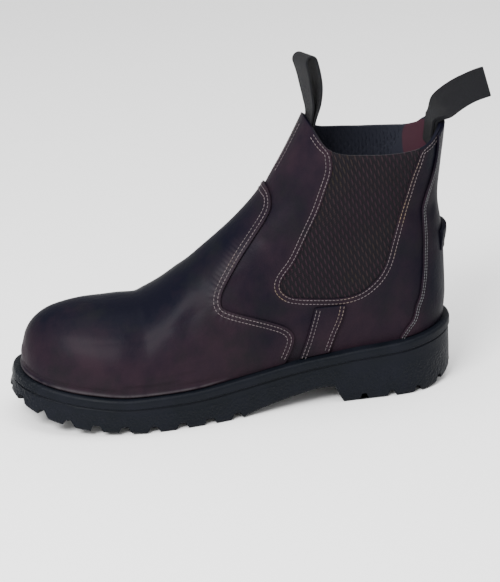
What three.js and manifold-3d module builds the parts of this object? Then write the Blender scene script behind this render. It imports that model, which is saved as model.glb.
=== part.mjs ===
// A pull-on safety boot for the left foot: one hollow leather upper on a lugged rubber sole.
// Millimetres. In the tables x runs from the back of the heel to the toe, y to the outer side of
// the foot and z up from the floor. The finished group has its origin on the floor under the heel.
import * as THREE from 'three';
import { mergeVertices } from 'three/addons/utils/BufferGeometryUtils.js';
import Module from 'manifold-3d';

const wasm = await Module();
wasm.setup();

// Sole
const SOLE_LENGTH = 298;
const BALL_WIDTH = 103;
const HEEL_WIDTH = 74;
const HEEL_EDGE = 43.5; // top edge of the rubber at the back of the heel
const BALL_EDGE = 25; // top edge of the rubber at the ball
const TOE_SPRING = 21;
const HEEL_ROLL = 8; // the heel's worn-in bevel at the very back
const ARCH_RISE = 12; // underside of the waist above the floor
const TOE_DRAFT = 4.5; // how far the toe's rubber leans inward at its top edge
const RIM_HEIGHT = 6.5; // the raised band below the top edge
const RIM_STEP = 0.9;
const EDGE_ROUND = 2.2;
const TREAD_BEVEL = 1.4;
const LUG_DEPTH = 4.6;
const LUG_PITCH = 18.9;
const LUG_REACH = 14; // how far the edge lugs run inward
const NOTCH_MOUTH = 9; // at the floor, between two forefoot lugs
const NOTCH_ROOF = 4.4;
const HEEL_NOTCH_MOUTH = 7;
const HEEL_NOTCH_ROOF = 2.6;
const CENTRE_LUG_LENGTH = 11;
const CENTRE_LUG_WIDTH = 13;
const CENTRE_LUG_SPLAY = 9; // from the middle to each row of centre lugs
const LUG_ROOT = 1; // how far a centre lug runs up into the rubber
const CUP_DEPTH = 6; // how deep the upper stands in the sole

// Upper
const TOE_HEIGHT = 78;
const INSTEP_HEIGHT = 110;
const SHAFT_HEIGHT = 192; // the front peak of the collar
const SHAFT_WIDTH = 69;
const TOE_SHELF = 9; // bare rubber in front of the toe
const SIDE_SHELF = 4.5;
const WALL = 2.2;
const OVERLAY = 1.5; // vamp, counter and side straps
const GORE_THICKNESS = 1.6;
const SPUR_DEPTH = 3;
const INSOLE_THICKNESS = 3;
const CLEARANCE = 0.3; // between any two pieces that meet

// Pull loops
const LOOP_WIDTH = 20;
const LOOP_THICKNESS = 1.6;
const FRONT_LOOP_HEIGHT = 40;
const FRONT_LOOP_GAP = 6;
const REAR_LOOP_LENGTH = 41;
const REAR_LOOP_GAP = 1.2;
const LOOP_SEWN = 18; // length of each leg inside the collar

// Mesh fineness
const COLUMNS = 20; // from the back seam to the front ridge on one side
const ROWS = 18; // from the sole to the collar
const SOLE_STATIONS = 24;
const OUTLINE_STEPS = 2; // segments between two rows of an outline's table
const WELL_STEPS = 10;
const LOOP_STEPS = 8; // along a leg
const LOOP_TURNS = 6; // round the tip
const ROW_CROWDING = 1.3; // above 1, the rows lie closer together at the toe's foot

// Half widths as shares of the width there, on the outer and the inner side of the foot
const SOLE_PLAN = [
  { at: 0, outer: 0.486, inner: 0.473 },
  { at: 0.134, outer: 0.5, inner: 0.493 },
  { at: 0.252, outer: 0.5, inner: 0.48 },
  { at: 0.336, outer: 0.478, inner: 0.44 },
  { at: 0.419, outer: 0.456, inner: 0.404 },
  { at: 0.503, outer: 0.451, inner: 0.4 },
  { at: 0.587, outer: 0.466, inner: 0.423 },
  { at: 0.671, outer: 0.49, inner: 0.466 },
  { at: 0.755, outer: 0.5, inner: 0.495 },
  { at: 0.839, outer: 0.5, inner: 0.505 },
  { at: 1, outer: 0.5, inner: 0.505 },
];
const WAIST_START = 0.25; // where the width begins to change from heel to ball
const WAIST_LENGTH = 0.35;
const TOE_ROUND = { from: 0.688, power: 2.35 };
const HEEL_ROUND = { from: 0.148, power: 2.1 };
const TOE_SWING = { from: 0.57, share: 0.048, power: 1.6 }; // towards the big toe, share of the ball

// Top edge of the rubber: shares of HEEL_EDGE and of BALL_EDGE, added up
const TOP_EDGE = [
  { at: 0, heel: 1, ball: 0 },
  { at: 0.067, heel: 0.943, ball: 0 },
  { at: 0.151, heel: 0.874, ball: 0 },
  { at: 0.262, heel: 0.816, ball: 0 },
  { at: 0.369, heel: 0.5, ball: 0.43 },
  { at: 0.503, heel: 0.12, ball: 0.912 },
  { at: 0.638, heel: 0, ball: 1 },
  { at: 0.738, heel: 0, ball: 1 },
  { at: 0.839, heel: 0, ball: 1.12 },
  { at: 0.923, heel: 0, ball: 1.28 },
  { at: 1, heel: 0, ball: 1.48 },
];
// Underside: shares of HEEL_ROLL, ARCH_RISE and TOE_SPRING
const UNDERSIDE = [
  { at: 0, heel: 1, arch: 0, toe: 0 },
  { at: 0.027, heel: 0.5, arch: 0, toe: 0 },
  { at: 0.06, heel: 0.13, arch: 0, toe: 0 },
  { at: 0.094, heel: 0, arch: 0, toe: 0 },
  { at: 0.268, heel: 0, arch: 0, toe: 0 },
  { at: 0.289, heel: 0, arch: 1, toe: 0 },
  { at: 0.315, heel: 0, arch: 1, toe: 0 },
  { at: 0.37, heel: 0, arch: 0.8, toe: 0 },
  { at: 0.425, heel: 0, arch: 0.54, toe: 0 },
  { at: 0.48, heel: 0, arch: 0.22, toe: 0 },
  { at: 0.511, heel: 0, arch: 0, toe: 0 },
  { at: 0.7, heel: 0, arch: 0, toe: 0 },
  { at: 0.755, heel: 0, arch: 0, toe: 0.07 },
  { at: 0.839, heel: 0, arch: 0, toe: 0.2 },
  { at: 0.923, heel: 0, arch: 0, toe: 0.48 },
  { at: 0.973, heel: 0, arch: 0, toe: 0.78 },
  { at: 1, heel: 0, arch: 0, toe: 1 },
];
const HEEL_BREAST = 0.268;
const BREAST_FOOT = 0.289; // the slanted breast meets the waist here
const TREAD_START = 0.511;
const WELLS = [
  { from: 0.055, to: 0.238 },
  { from: 0.541, to: 0.945 },
];
const CENTRE_LUG_ROWS = { start: 0.556, single: 0.87, end: 0.93 };
const FIRST_HEEL_NOTCH = 0.8; // from the breast on the inner side, as a share of LUG_PITCH
const FIRST_NOTCH = 0.03; // from the tread's start on the outer side, likewise
// The side wall leans in at the toe. Each column is a share of TOE_DRAFT at a level of the wall.
const TOE_LEAN = { from: 0.78, length: 0.2 };
const WALL_LEAN = { rimFoot: 0.55, rimTop: 0.6, roundFoot: 0.85, roundMiddle: 0.93 };
const ROUND_MIDDLE = 0.3; // share of EDGE_ROUND

// The ridge of the upper from the toe's tip over the instep to the collar. The column up counts
// the named heights: 1 is TOE_HEIGHT, 2 is INSTEP_HEIGHT and 3 is SHAFT_HEIGHT.
const RIDGE = [
  { at: 0.971, up: 0.4 },
  { at: 0.97, up: 0.577 },
  { at: 0.963, up: 0.667 },
  { at: 0.955, up: 0.756 },
  { at: 0.94, up: 0.84 },
  { at: 0.919, up: 0.904 },
  { at: 0.893, up: 0.949 },
  { at: 0.866, up: 0.972 },
  { at: 0.839, up: 0.987 },
  { at: 0.812, up: 0.995 },
  { at: 0.762, up: 0.996 },
  { at: 0.708, up: 1 },
  { at: 0.681, up: 1.094 },
  { at: 0.651, up: 1.234 },
  { at: 0.592, up: 1.594 },
  { at: 0.534, up: 2 },
  { at: 0.475, up: 2.171 },
  { at: 0.42, up: 2.372 },
  { at: 0.396, up: 2.506 },
  { at: 0.366, up: 2.677 },
  { at: 0.34, up: 2.84 },
  { at: 0.316, up: 3 },
];
// The back seam: height as a share of SHAFT_HEIGHT, place as a share of the sole's length
const BACK_SEAM = [
  { up: 0.1, at: 0.024 },
  { up: 0.227, at: 0.012 },
  { up: 0.328, at: 0.006 },
  { up: 0.443, at: 0.0067 },
  { up: 0.547, at: 0.0095 },
  { up: 0.667, at: 0.0175 },
  { up: 0.781, at: 0.0095 },
  { up: 0.885, at: 0.0005 },
  { up: 1.1, at: -0.015 },
];
// The collar from the rear peak to the front peak, height as a share of SHAFT_HEIGHT
const COLLAR = [
  { at: -0.0034, up: 0.935 },
  { at: 0.016, up: 0.917 },
  { at: 0.04, up: 0.888 },
  { at: 0.067, up: 0.877 },
  { at: 0.101, up: 0.876 },
  { at: 0.154, up: 0.879 },
  { at: 0.208, up: 0.887 },
  { at: 0.252, up: 0.897 },
  { at: 0.28, up: 0.917 },
  { at: 0.316, up: 1 },
];
// Level sections of the shaft: half width as a share of SHAFT_WIDTH, and how far its round front
// and back reach along the foot, as shares of the sole's length
const SHAFT = [
  { up: 0.15, half: 0.493, front: 0.2, back: 0.128, power: 2 },
  { up: 0.26, half: 0.507, front: 0.2, back: 0.128, power: 2.1 },
  { up: 0.417, half: 0.493, front: 0.2, back: 0.134, power: 2.1 },
  { up: 0.573, half: 0.478, front: 0.188, back: 0.141, power: 2.1 },
  { up: 0.729, half: 0.478, front: 0.174, back: 0.154, power: 2.1 },
  { up: 0.885, half: 0.5, front: 0.164, back: 0.161, power: 2.15 },
  { up: 1.04, half: 0.507, front: 0.161, back: 0.158, power: 2.2 },
];
const SECTION = { low: 2.6, high: 2, bulge: 0.05, bulgeTop: 0.7 }; // form of a cross section
const SHAFT_FADE = { at: 0.62, length: 0.285 }; // where the foot's sections become the shaft's
const WAIST_FADE = { up: 0.182, height: 0.39 }; // where the sole's outline becomes the shaft's

// Outlines in side view: x as a share of the sole's length, z as a share of SHAFT_HEIGHT
const GORE_EDGE = [
  { at: 0.276, up: 0.93 },
  { at: 0.2708, up: 0.8765 },
  { at: 0.2715, up: 0.836 },
  { at: 0.2825, up: 0.788 },
  { at: 0.303, up: 0.707 },
  { at: 0.331, up: 0.623 },
  { at: 0.3617, up: 0.531 },
  { at: 0.388, up: 0.482 },
  { at: 0.398, up: 0.448 },
  { at: 0.388, up: 0.42 },
  { at: 0.364, up: 0.4 },
  { at: 0.288, up: 0.382 },
  { at: 0.243, up: 0.381 },
  { at: 0.207, up: 0.4 },
  { at: 0.175, up: 0.442 },
  { at: 0.158, up: 0.49 },
  { at: 0.145, up: 0.554 },
  { at: 0.1245, up: 0.649 },
  { at: 0.104, up: 0.729 },
  { at: 0.0866, up: 0.8 },
  { at: 0.074, up: 0.839 },
  { at: 0.06, up: 0.912 },
];
const VAMP_EDGE = [
  { at: 0.425, up: 0.1 },
  { at: 0.394, up: 0.172 },
  { at: 0.381, up: 0.21 },
  { at: 0.373, up: 0.246 },
  { at: 0.375, up: 0.273 },
  { at: 0.39, up: 0.3 },
  { at: 0.421, up: 0.326 },
  { at: 0.456, up: 0.35 },
  { at: 0.491, up: 0.372 },
  { at: 0.519, up: 0.391 },
  { at: 0.5305, up: 0.408 },
  { at: 0.528, up: 0.439 },
  { at: 0.514, up: 0.476 },
  { at: 0.476, up: 0.557 },
  { at: 0.436, up: 0.635 },
  { at: 0.416, up: 0.676 },
  { at: 0.403, up: 0.71 },
  { at: 0.4, up: 0.738 },
  { at: 0.402, up: 0.762 },
  { at: 0.42, up: 0.83 },
];
const COUNTER_EDGE = [
  { at: 0.15, up: 0.15 },
  { at: 0.131, up: 0.207 },
  { at: 0.117, up: 0.238 },
  { at: 0.1, up: 0.271 },
  { at: 0.092, up: 0.318 },
  { at: 0.0815, up: 0.355 },
  { at: 0.0725, up: 0.44 },
  { at: 0.069, up: 0.55 },
  { at: 0.065, up: 0.654 },
  { at: 0.0557, up: 0.706 },
  { at: 0.0443, up: 0.743 },
  { at: 0.0315, up: 0.795 },
  { at: 0.024, up: 0.86 },
  { at: 0.022, up: 1 },
];
// The strap's front and rear edges
const STRAP_EDGES = [
  { front: 0.38, rear: 0.312, up: 0.1 },
  { front: 0.364, rear: 0.298, up: 0.164 },
  { front: 0.3436, rear: 0.2785, up: 0.242 },
  { front: 0.331, rear: 0.261, up: 0.304 },
  { front: 0.323, rear: 0.254, up: 0.347 },
];
// Where the loops are sewn, as shares of SHAFT_HEIGHT, how the front one stands, as shares of its
// height, and the lean and turn of both in radians
const FRONT_LOOP = { sewnTop: 0.99, tipAhead: 0.04, kneeAhead: -0.105, turn: { foot: 0.1, tip: 0.3 } };
const REAR_LOOP = { sewnTop: 0.935, lean: 2.62, kneeLean: 2.28, turn: { foot: 0.7, tip: 1.35 } };
// Shares of a leg: the width has begun its full turn and the two legs are fully apart by these
const LEG = { turned: 0.33, apart: 0.67 };
const SPUR = { low: 0.482, high: 0.552, front: 0.024 };

const REACH = 1.5 * BALL_WIDTH; // past the boot on either side, for cutters
const ABOVE = 1.2 * SHAFT_HEIGHT; // past the collar
const AHEAD = 1.1 * SOLE_LENGTH; // past the toe
const BEHIND = -0.1 * SOLE_LENGTH; // past the heel
const PAST_FACE = 2.5 * CLEARANCE; // how far a tread cutter runs past the face that it opens
const INSTEP_ROW = 11; // the row of RIDGE where the shaft's front line begins
const FLOOR_FRONT = 1.15; // where that line would meet the floor
const ORIGIN_X = 0.168 * SOLE_LENGTH; // the middle of the heel's flat
const UPPER_OUT = -(OVERLAY + CLEARANCE);
const UPPER_IN = UPPER_OUT - WALL;

const clamp = (t) => Math.min(1, Math.max(0, t));
const smooth = (t) => clamp(t) ** 2 * (3 - 2 * clamp(t));
const mix = (a, b, t) => a + (b - a) * t;

// A smooth curve through a table's rows that never overshoots them.
function read(table, key, column, value) {
  const up = table[table.length - 1][key] > table[0][key];
  const rows = up ? table : [...table].reverse();
  let k = 0;
  while (k < rows.length - 2 && value > rows[k + 1][key]) k++;
  const slope = (i) => (rows[i + 1][column] - rows[i][column]) / (rows[i + 1][key] - rows[i][key]);
  const tangent = (i) => {
    if (i === 0) return slope(0);
    if (i === rows.length - 1) return slope(i - 1);
    const before = slope(i - 1);
    const after = slope(i);
    return before * after <= 0 ? 0 : (2 * before * after) / (before + after);
  };
  const span = rows[k + 1][key] - rows[k][key];
  const t = clamp((value - rows[k][key]) / span);
  const a = rows[k][column] * (1 + 2 * t) * (1 - t) ** 2;
  const b = rows[k + 1][column] * t * t * (3 - 2 * t);
  return a + b + span * (tangent(k) * t * (1 - t) ** 2 + tangent(k + 1) * t * t * (t - 1));
}

// Turns the count of named heights into millimetres.
function namedHeight(up) {
  if (up < 1) return TOE_HEIGHT * up;
  if (up < 2) return mix(TOE_HEIGHT, INSTEP_HEIGHT, up - 1);
  return mix(INSTEP_HEIGHT, SHAFT_HEIGHT, up - 2);
}

const ridgeLine = RIDGE.map(({ at, up }) => ({ x: at * SOLE_LENGTH, z: namedHeight(up) }));
const shaftFront = [{ x: FLOOR_FRONT * SOLE_LENGTH, z: 0 }, ...ridgeLine.slice(INSTEP_ROW)];
const ridgeHeight = (x) => read(ridgeLine, 'x', 'z', x);
const shaftFrontX = (z) => read(shaftFront, 'z', 'x', z);
const backX = (z) => SOLE_LENGTH * read(BACK_SEAM, 'up', 'at', z / SHAFT_HEIGHT);
const collarHeight = (x) => SHAFT_HEIGHT * read(COLLAR, 'at', 'up', x / SOLE_LENGTH);

// The foot's centre line swings to the inner side towards the toe.
function centreY(x) {
  const t = clamp((x / SOLE_LENGTH - TOE_SWING.from) / (1 - TOE_SWING.from));
  return -TOE_SWING.share * BALL_WIDTH * t ** TOE_SWING.power;
}

function roundEnds(x, back, tip) {
  const toeFrom = TOE_ROUND.from * SOLE_LENGTH;
  const heelFrom = HEEL_ROUND.from * SOLE_LENGTH;
  const toe = clamp((x - toeFrom) / (tip - toeFrom));
  const heel = clamp((heelFrom - x) / (heelFrom - back));
  const toeShare = (1 - toe ** TOE_ROUND.power) ** (1 / TOE_ROUND.power);
  return toeShare * (1 - heel ** HEEL_ROUND.power) ** (1 / HEEL_ROUND.power);
}

function planHalf(x, side) {
  const at = x / SOLE_LENGTH;
  const width = mix(HEEL_WIDTH, BALL_WIDTH, smooth((at - WAIST_START) / WAIST_LENGTH));
  return width * read(SOLE_PLAN, 'at', side > 0 ? 'outer' : 'inner', at);
}

function topEdge(x) {
  const at = x / SOLE_LENGTH;
  return HEEL_EDGE * read(TOP_EDGE, 'at', 'heel', at) + BALL_EDGE * read(TOP_EDGE, 'at', 'ball', at);
}

function underside(x) {
  const at = x / SOLE_LENGTH;
  const heel = HEEL_ROLL * read(UNDERSIDE, 'at', 'heel', at);
  const toe = TOE_SPRING * read(UNDERSIDE, 'at', 'toe', at);
  return heel + toe + ARCH_RISE * read(UNDERSIDE, 'at', 'arch', at);
}

const upperFoot = (x) => topEdge(x) - CUP_DEPTH;

// Half width of the boot's outer face at a point of its side view.
function halfWidth(x, z, side) {
  const tip = SOLE_LENGTH - TOE_SHELF;
  const toeFrom = TOE_ROUND.from * SOLE_LENGTH - SIDE_SHELF;
  const toe = clamp((x - toeFrom) / (tip - toeFrom));
  const plan = planHalf(x, side) - SIDE_SHELF;
  const rise = clamp((z - upperFoot(x)) / (ridgeHeight(x) - upperFoot(x)));
  const round = (1 - toe ** TOE_ROUND.power) ** (1 / TOE_ROUND.power);
  const dome = (1 - rise ** SECTION.low) ** (1 / SECTION.high);
  const bulge = 1 + SECTION.bulge * Math.sin(Math.PI * clamp(rise / SECTION.bulgeTop));
  const foot = plan * round * dome * bulge;
  const up = z / SHAFT_HEIGHT;
  const power = read(SHAFT, 'up', 'power', up);
  const front = read(SHAFT, 'up', 'front', up) * SOLE_LENGTH;
  const back = read(SHAFT, 'up', 'back', up) * SOLE_LENGTH;
  const ends = (room, reach) => (1 - clamp(1 - room / reach) ** power) ** (1 / power);
  const blend = smooth((up - WAIST_FADE.up) / WAIST_FADE.height);
  const half = mix(plan, SHAFT_WIDTH * read(SHAFT, 'up', 'half', up), blend);
  const shaft = half * ends(x - backX(z), back) * ends(shaftFrontX(z) - x, front);
  return mix(foot, shaft, smooth((SHAFT_FADE.at - x / SOLE_LENGTH) / SHAFT_FADE.length));
}

// A point and its share along a polyline's length.
function along(line, share) {
  const steps = line.slice(1).map((p, i) => Math.hypot(p.x - line[i].x, p.z - line[i].z));
  let left = share * steps.reduce((a, b) => a + b, 0);
  let k = 0;
  while (k < steps.length - 1 && left > steps[k]) left -= steps[k++];
  const t = steps[k] ? Math.min(1, left / steps[k]) : 0;
  return { x: mix(line[k].x, line[k + 1].x, t), z: mix(line[k].z, line[k + 1].z, t) };
}

// Rings of the outer face from the sole to the collar. Each ring runs from the back seam along
// the outer side to the ridge and returns along the inner side.
function faceRings() {
  const tip = ridgeLine[0];
  const start = { x: backX(upperFoot(0)), z: upperFoot(0) };
  const peak = ridgeLine[ridgeLine.length - 1];
  const rear = { x: backX(SHAFT_HEIGHT * COLLAR[0].up), z: SHAFT_HEIGHT * COLLAR[0].up };
  const low = { x: tip.x, z: upperFoot(tip.x) };
  const front = [low, ...ridgeLine.filter((p) => p.z > low.z + CLEARANCE)];
  const rings = [];
  for (let j = 0; j <= ROWS; j++) {
    const v = j / ROWS;
    const backZ = mix(start.z, rear.z, v);
    const back = { x: backX(backZ), z: backZ };
    const ahead = along(front, v ** ROW_CROWDING);
    const sides = [[], []];
    for (let i = 0; i <= COLUMNS; i++) {
      const u = (1 - Math.cos((Math.PI * i) / COLUMNS)) / 2;
      const bottomX = mix(start.x, low.x, u);
      const topX = mix(rear.x, peak.x, u);
      const place = (axis, bottom, top) =>
        mix(bottom, top, v) + mix(back[axis], ahead[axis], u)
        - mix(mix(start[axis], rear[axis], v), mix(low[axis], peak[axis], v), u);
      const x = place('x', bottomX, topX);
      const z = place('z', upperFoot(bottomX), collarHeight(topX));
      const edge = i === 0 || i === COLUMNS;
      for (const [n, side] of [[0, 1], [1, -1]]) {
        const half = edge ? 0 : halfWidth(x, z, side);
        sides[n].push(new THREE.Vector3(x, centreY(x) + side * half, z));
      }
    }
    rings.push([...sides[0], ...sides[1].slice(1, -1).reverse()]);
  }
  return rings;
}

// Outward directions at the points of the rings. At the sole they are level.
function ringNormals(rings) {
  const count = rings[0].length;
  return rings.map((ring, j) => ring.map((point, k) => {
    const before = ring[(k + count - 1) % count];
    const after = ring[(k + 1) % count];
    const below = rings[Math.max(0, j - 1)][k];
    const above = rings[Math.min(rings.length - 1, j + 1)][k];
    const around = new THREE.Vector3().subVectors(after, before);
    const normal = new THREE.Vector3().subVectors(above, below).cross(around);
    if (j === 0) normal.z = 0;
    return normal.normalize();
  }));
}

const faceGrid = faceRings();
const faceNormals = ringNormals(faceGrid);

// The rings moved out by a distance, with the lowest one a little lower.
function movedRings(distance, drop = 0) {
  return faceGrid.map((ring, j) => ring.map((point, k) => {
    const moved = point.clone().addScaledVector(faceNormals[j][k], distance);
    if (j === 0) moved.z -= drop;
    return moved;
  }));
}

function toSolid(points, faces) {
  const build = (list) => new wasm.Manifold(new wasm.Mesh({
    numProp: 3,
    vertProperties: new Float32Array(points.flatMap((p) => [p.x, p.y, p.z])),
    triVerts: new Uint32Array(list.flat()),
  }));
  const made = build(faces);
  return made.volume() < 0 ? build(faces.map(([a, b, c]) => [a, c, b])) : made;
}

function geometryToSolid(geometry) {
  geometry.deleteAttribute('normal');
  geometry.deleteAttribute('uv');
  const merged = mergeVertices(geometry, 1e-4);
  const place = merged.getAttribute('position');
  const points = [];
  for (let i = 0; i < place.count; i++) points.push(new THREE.Vector3().fromBufferAttribute(place, i));
  const index = merged.index.array;
  const faces = [];
  for (let i = 0; i < index.length; i += 3) faces.push([index[i], index[i + 1], index[i + 2]]);
  return toSolid(points, faces);
}

// Faces between rings of equal count, the first one below.
function wallFaces(rings, count, base, inward) {
  const faces = [];
  for (let j = 0; j < rings - 1; j++) {
    for (let k = 0; k < count; k++) {
      const a = base + j * count + k;
      const b = base + j * count + ((k + 1) % count);
      const pair = [[a, b, b + count], [a, b + count, a + count]];
      pair.forEach(([p, q, r]) => faces.push(inward ? [p, r, q] : [p, q, r]));
    }
  }
  return faces;
}

// A lid of strips across a ring whose two halves mirror each other's places.
function lidFaces(count, base, up) {
  const faces = [];
  const half = count / 2;
  const other = (i) => base + ((count - i) % count);
  for (let i = 0; i < half; i++) {
    const quad = [base + i, base + i + 1, other(i + 1), other(i)];
    const first = [quad[0], quad[1], quad[2]];
    const second = [quad[0], quad[2], quad[3]];
    for (const [p, q, r] of [first, second]) {
      if (p !== q && q !== r && p !== r) faces.push(up ? [p, q, r] : [p, r, q]);
    }
  }
  return faces;
}

// A solid through closed rings.
function loft(rings) {
  const count = rings[0].length;
  const top = (rings.length - 1) * count;
  const faces = [...wallFaces(rings.length, count, 0, false), ...lidFaces(count, 0, false),
    ...lidFaces(count, top, true)];
  return toSolid(rings.flat(), faces);
}

// The hollow wall between two sets of rings, open above and below.
function hollow(outer, inner) {
  const count = outer[0].length;
  const total = outer.length * count;
  const faces = [...wallFaces(outer.length, count, 0, false),
    ...wallFaces(inner.length, count, total, true)];
  for (let k = 0; k < count; k++) {
    const n = (k + 1) % count;
    const high = total - count;
    faces.push([k, k + total, n + total], [k, n + total, n]);
    faces.push([high + k, high + n + total, high + k + total], [high + k, high + n, high + n + total]);
  }
  return toSolid([...outer.flat(), ...inner.flat()], faces);
}

const toSide = ({ at, up }) => new THREE.Vector2(at * SOLE_LENGTH, up * SHAFT_HEIGHT);

function curveThrough(rows) {
  const curve = new THREE.SplineCurve(rows.map(toSide));
  return curve.getPoints((rows.length - 1) * OUTLINE_STEPS);
}

// A prism across the boot from an outline in side view.
function acrossPrism(outline, from = -REACH, to = REACH) {
  const geometry = new THREE.ExtrudeGeometry(new THREE.Shape(outline), {
    depth: to - from,
    bevelEnabled: false,
  });
  geometry.rotateX(Math.PI / 2);
  geometry.translate(0, to, 0);
  return geometryToSolid(geometry);
}

const oneSide = (side) => (side > 0 ? [CLEARANCE, REACH] : [-REACH, -CLEARANCE]);

// The sole's top edge seen from the side, a clearance higher.
function landing(from, to, steps) {
  const line = [];
  for (let i = 0; i <= steps; i++) {
    const x = mix(from, to, i / steps);
    line.push(new THREE.Vector2(x, topEdge(x) + CLEARANCE));
  }
  return line;
}

const aboveLanding = (points) => points.filter((p) => p.y > topEdge(p.x) + 2 * CLEARANCE);
const overlayShell = () => hollow(movedRings(0), movedRings(-OVERLAY));

// An outline that stays open at the collar, closed far above it.
const closedAbove = (line) => [...line, new THREE.Vector2(line[line.length - 1].x, ABOVE),
  new THREE.Vector2(line[0].x, ABOVE)];

function makeUpper() {
  const wall = hollow(movedRings(UPPER_OUT), movedRings(UPPER_IN));
  return wall.subtract(acrossPrism(closedAbove(curveThrough(GORE_EDGE))));
}

function makeGore(side) {
  const outside = UPPER_OUT - CLEARANCE;
  const sheet = hollow(movedRings(outside), movedRings(outside - GORE_THICKNESS));
  const edge = curveThrough(GORE_EDGE);
  const inset = edge.map((p, i) => {
    const before = edge[Math.max(0, i - 1)];
    const after = edge[Math.min(edge.length - 1, i + 1)];
    const run = new THREE.Vector2().subVectors(after, before).normalize();
    return new THREE.Vector2(p.x + run.y * CLEARANCE, p.y - run.x * CLEARANCE);
  });
  return sheet.intersect(acrossPrism(closedAbove(inset), ...oneSide(side)));
}

function makeVamp() {
  const edge = aboveLanding(curveThrough(VAMP_EDGE));
  const outline = [...landing(AHEAD, edge[0].x, 2 * COLUMNS), ...edge,
    new THREE.Vector2(AHEAD, edge[edge.length - 1].y)];
  return overlayShell().intersect(acrossPrism(outline));
}

function makeCounter() {
  const edge = aboveLanding(curveThrough(COUNTER_EDGE));
  const outline = [...landing(BEHIND, edge[0].x, COLUMNS), ...edge,
    new THREE.Vector2(BEHIND, edge[edge.length - 1].y)];
  return overlayShell().intersect(acrossPrism(outline));
}

function makeStrap(side) {
  const column = (name) => curveThrough(STRAP_EDGES.map((row) => ({ at: row[name], up: row.up })));
  const front = aboveLanding(column('front'));
  const rear = aboveLanding(column('rear'));
  const outline = [...landing(rear[0].x, front[0].x, 2 * OUTLINE_STEPS), ...front, ...rear.reverse()];
  return overlayShell().intersect(acrossPrism(outline, ...oneSide(side)));
}

function makeSpurRest() {
  const block = hollow(movedRings(CLEARANCE + SPUR_DEPTH), movedRings(CLEARANCE));
  const corner = (x, up) => new THREE.Vector2(x, up * SHAFT_HEIGHT);
  const front = SPUR.front * SOLE_LENGTH;
  const outline = [corner(BEHIND, SPUR.low), corner(front, SPUR.low), corner(front, SPUR.high),
    corner(BEHIND, SPUR.high)];
  return block.intersect(acrossPrism(outline));
}

// Outline stations of the sole: close together at both ends, with one on each edge of the breast.
function soleStations() {
  const list = [];
  for (let i = 0; i <= SOLE_STATIONS; i++) list.push((1 - Math.cos((Math.PI * i) / SOLE_STATIONS)) / 2);
  const breast = [HEEL_BREAST, BREAST_FOOT, TREAD_START];
  const closest = 0.2 / SOLE_STATIONS;
  const clear = list.filter((at) => breast.every((b) => Math.abs(at - b) > closest));
  return [...clear, ...breast].sort((a, b) => a - b);
}

// The plan outline moved outward by a distance, as a ring like the upper's.
function soleRing(outward, height) {
  const stations = soleStations().map((at) => at * SOLE_LENGTH);
  const half = (x, side) => planHalf(x, side) * roundEnds(x, 0, SOLE_LENGTH);
  const sides = [1, -1].map((side) => stations.map((x) => {
    const end = x === 0 || x === SOLE_LENGTH;
    return new THREE.Vector2(x, centreY(x) + (end ? 0 : side * half(x, side)));
  }));
  const flat = [...sides[0], ...sides[1].slice(1, -1).reverse()];
  return flat.map((point, k) => {
    const before = flat[(k + flat.length - 1) % flat.length];
    const after = flat[(k + 1) % flat.length];
    const run = new THREE.Vector2().subVectors(after, before).normalize();
    const lean = typeof outward === 'function' ? outward(point.x) : outward;
    const x = point.x - run.y * lean;
    return new THREE.Vector3(x, point.y + run.x * lean, height(Math.min(SOLE_LENGTH, Math.max(0, x))));
  });
}

// How far the rubber leans in at a share of its height.
function draft(share) {
  return (x) => -TOE_DRAFT * share * smooth((x / SOLE_LENGTH - TOE_LEAN.from) / TOE_LEAN.length);
}

function makeSoleBody() {
  const rim = (x) => topEdge(x) - RIM_HEIGHT;
  const lean = (share, more) => (x) => draft(share)(x) + more;
  const middle = ROUND_MIDDLE * EDGE_ROUND;
  return loft([
    soleRing(lean(0, -TREAD_BEVEL), underside),
    soleRing(lean(0, 0), (x) => underside(x) + TREAD_BEVEL),
    soleRing(lean(WALL_LEAN.rimFoot, 0), rim),
    soleRing(lean(WALL_LEAN.rimTop, RIM_STEP), (x) => rim(x) + RIM_STEP),
    soleRing(lean(WALL_LEAN.roundFoot, RIM_STEP), (x) => topEdge(x) - EDGE_ROUND),
    soleRing(lean(WALL_LEAN.roundMiddle, RIM_STEP - middle), (x) => topEdge(x) - middle),
    soleRing(lean(1, RIM_STEP - EDGE_ROUND), topEdge),
  ]);
}

// A solid between two polygons of equal count.
function frustum(low, high) {
  const count = low.length;
  const faces = wallFaces(2, count, 0, false);
  for (let k = 1; k < count - 1; k++) faces.push([0, k + 1, k], [count, count + k, count + k + 1]);
  return toSolid([...low, ...high], faces);
}

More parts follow.
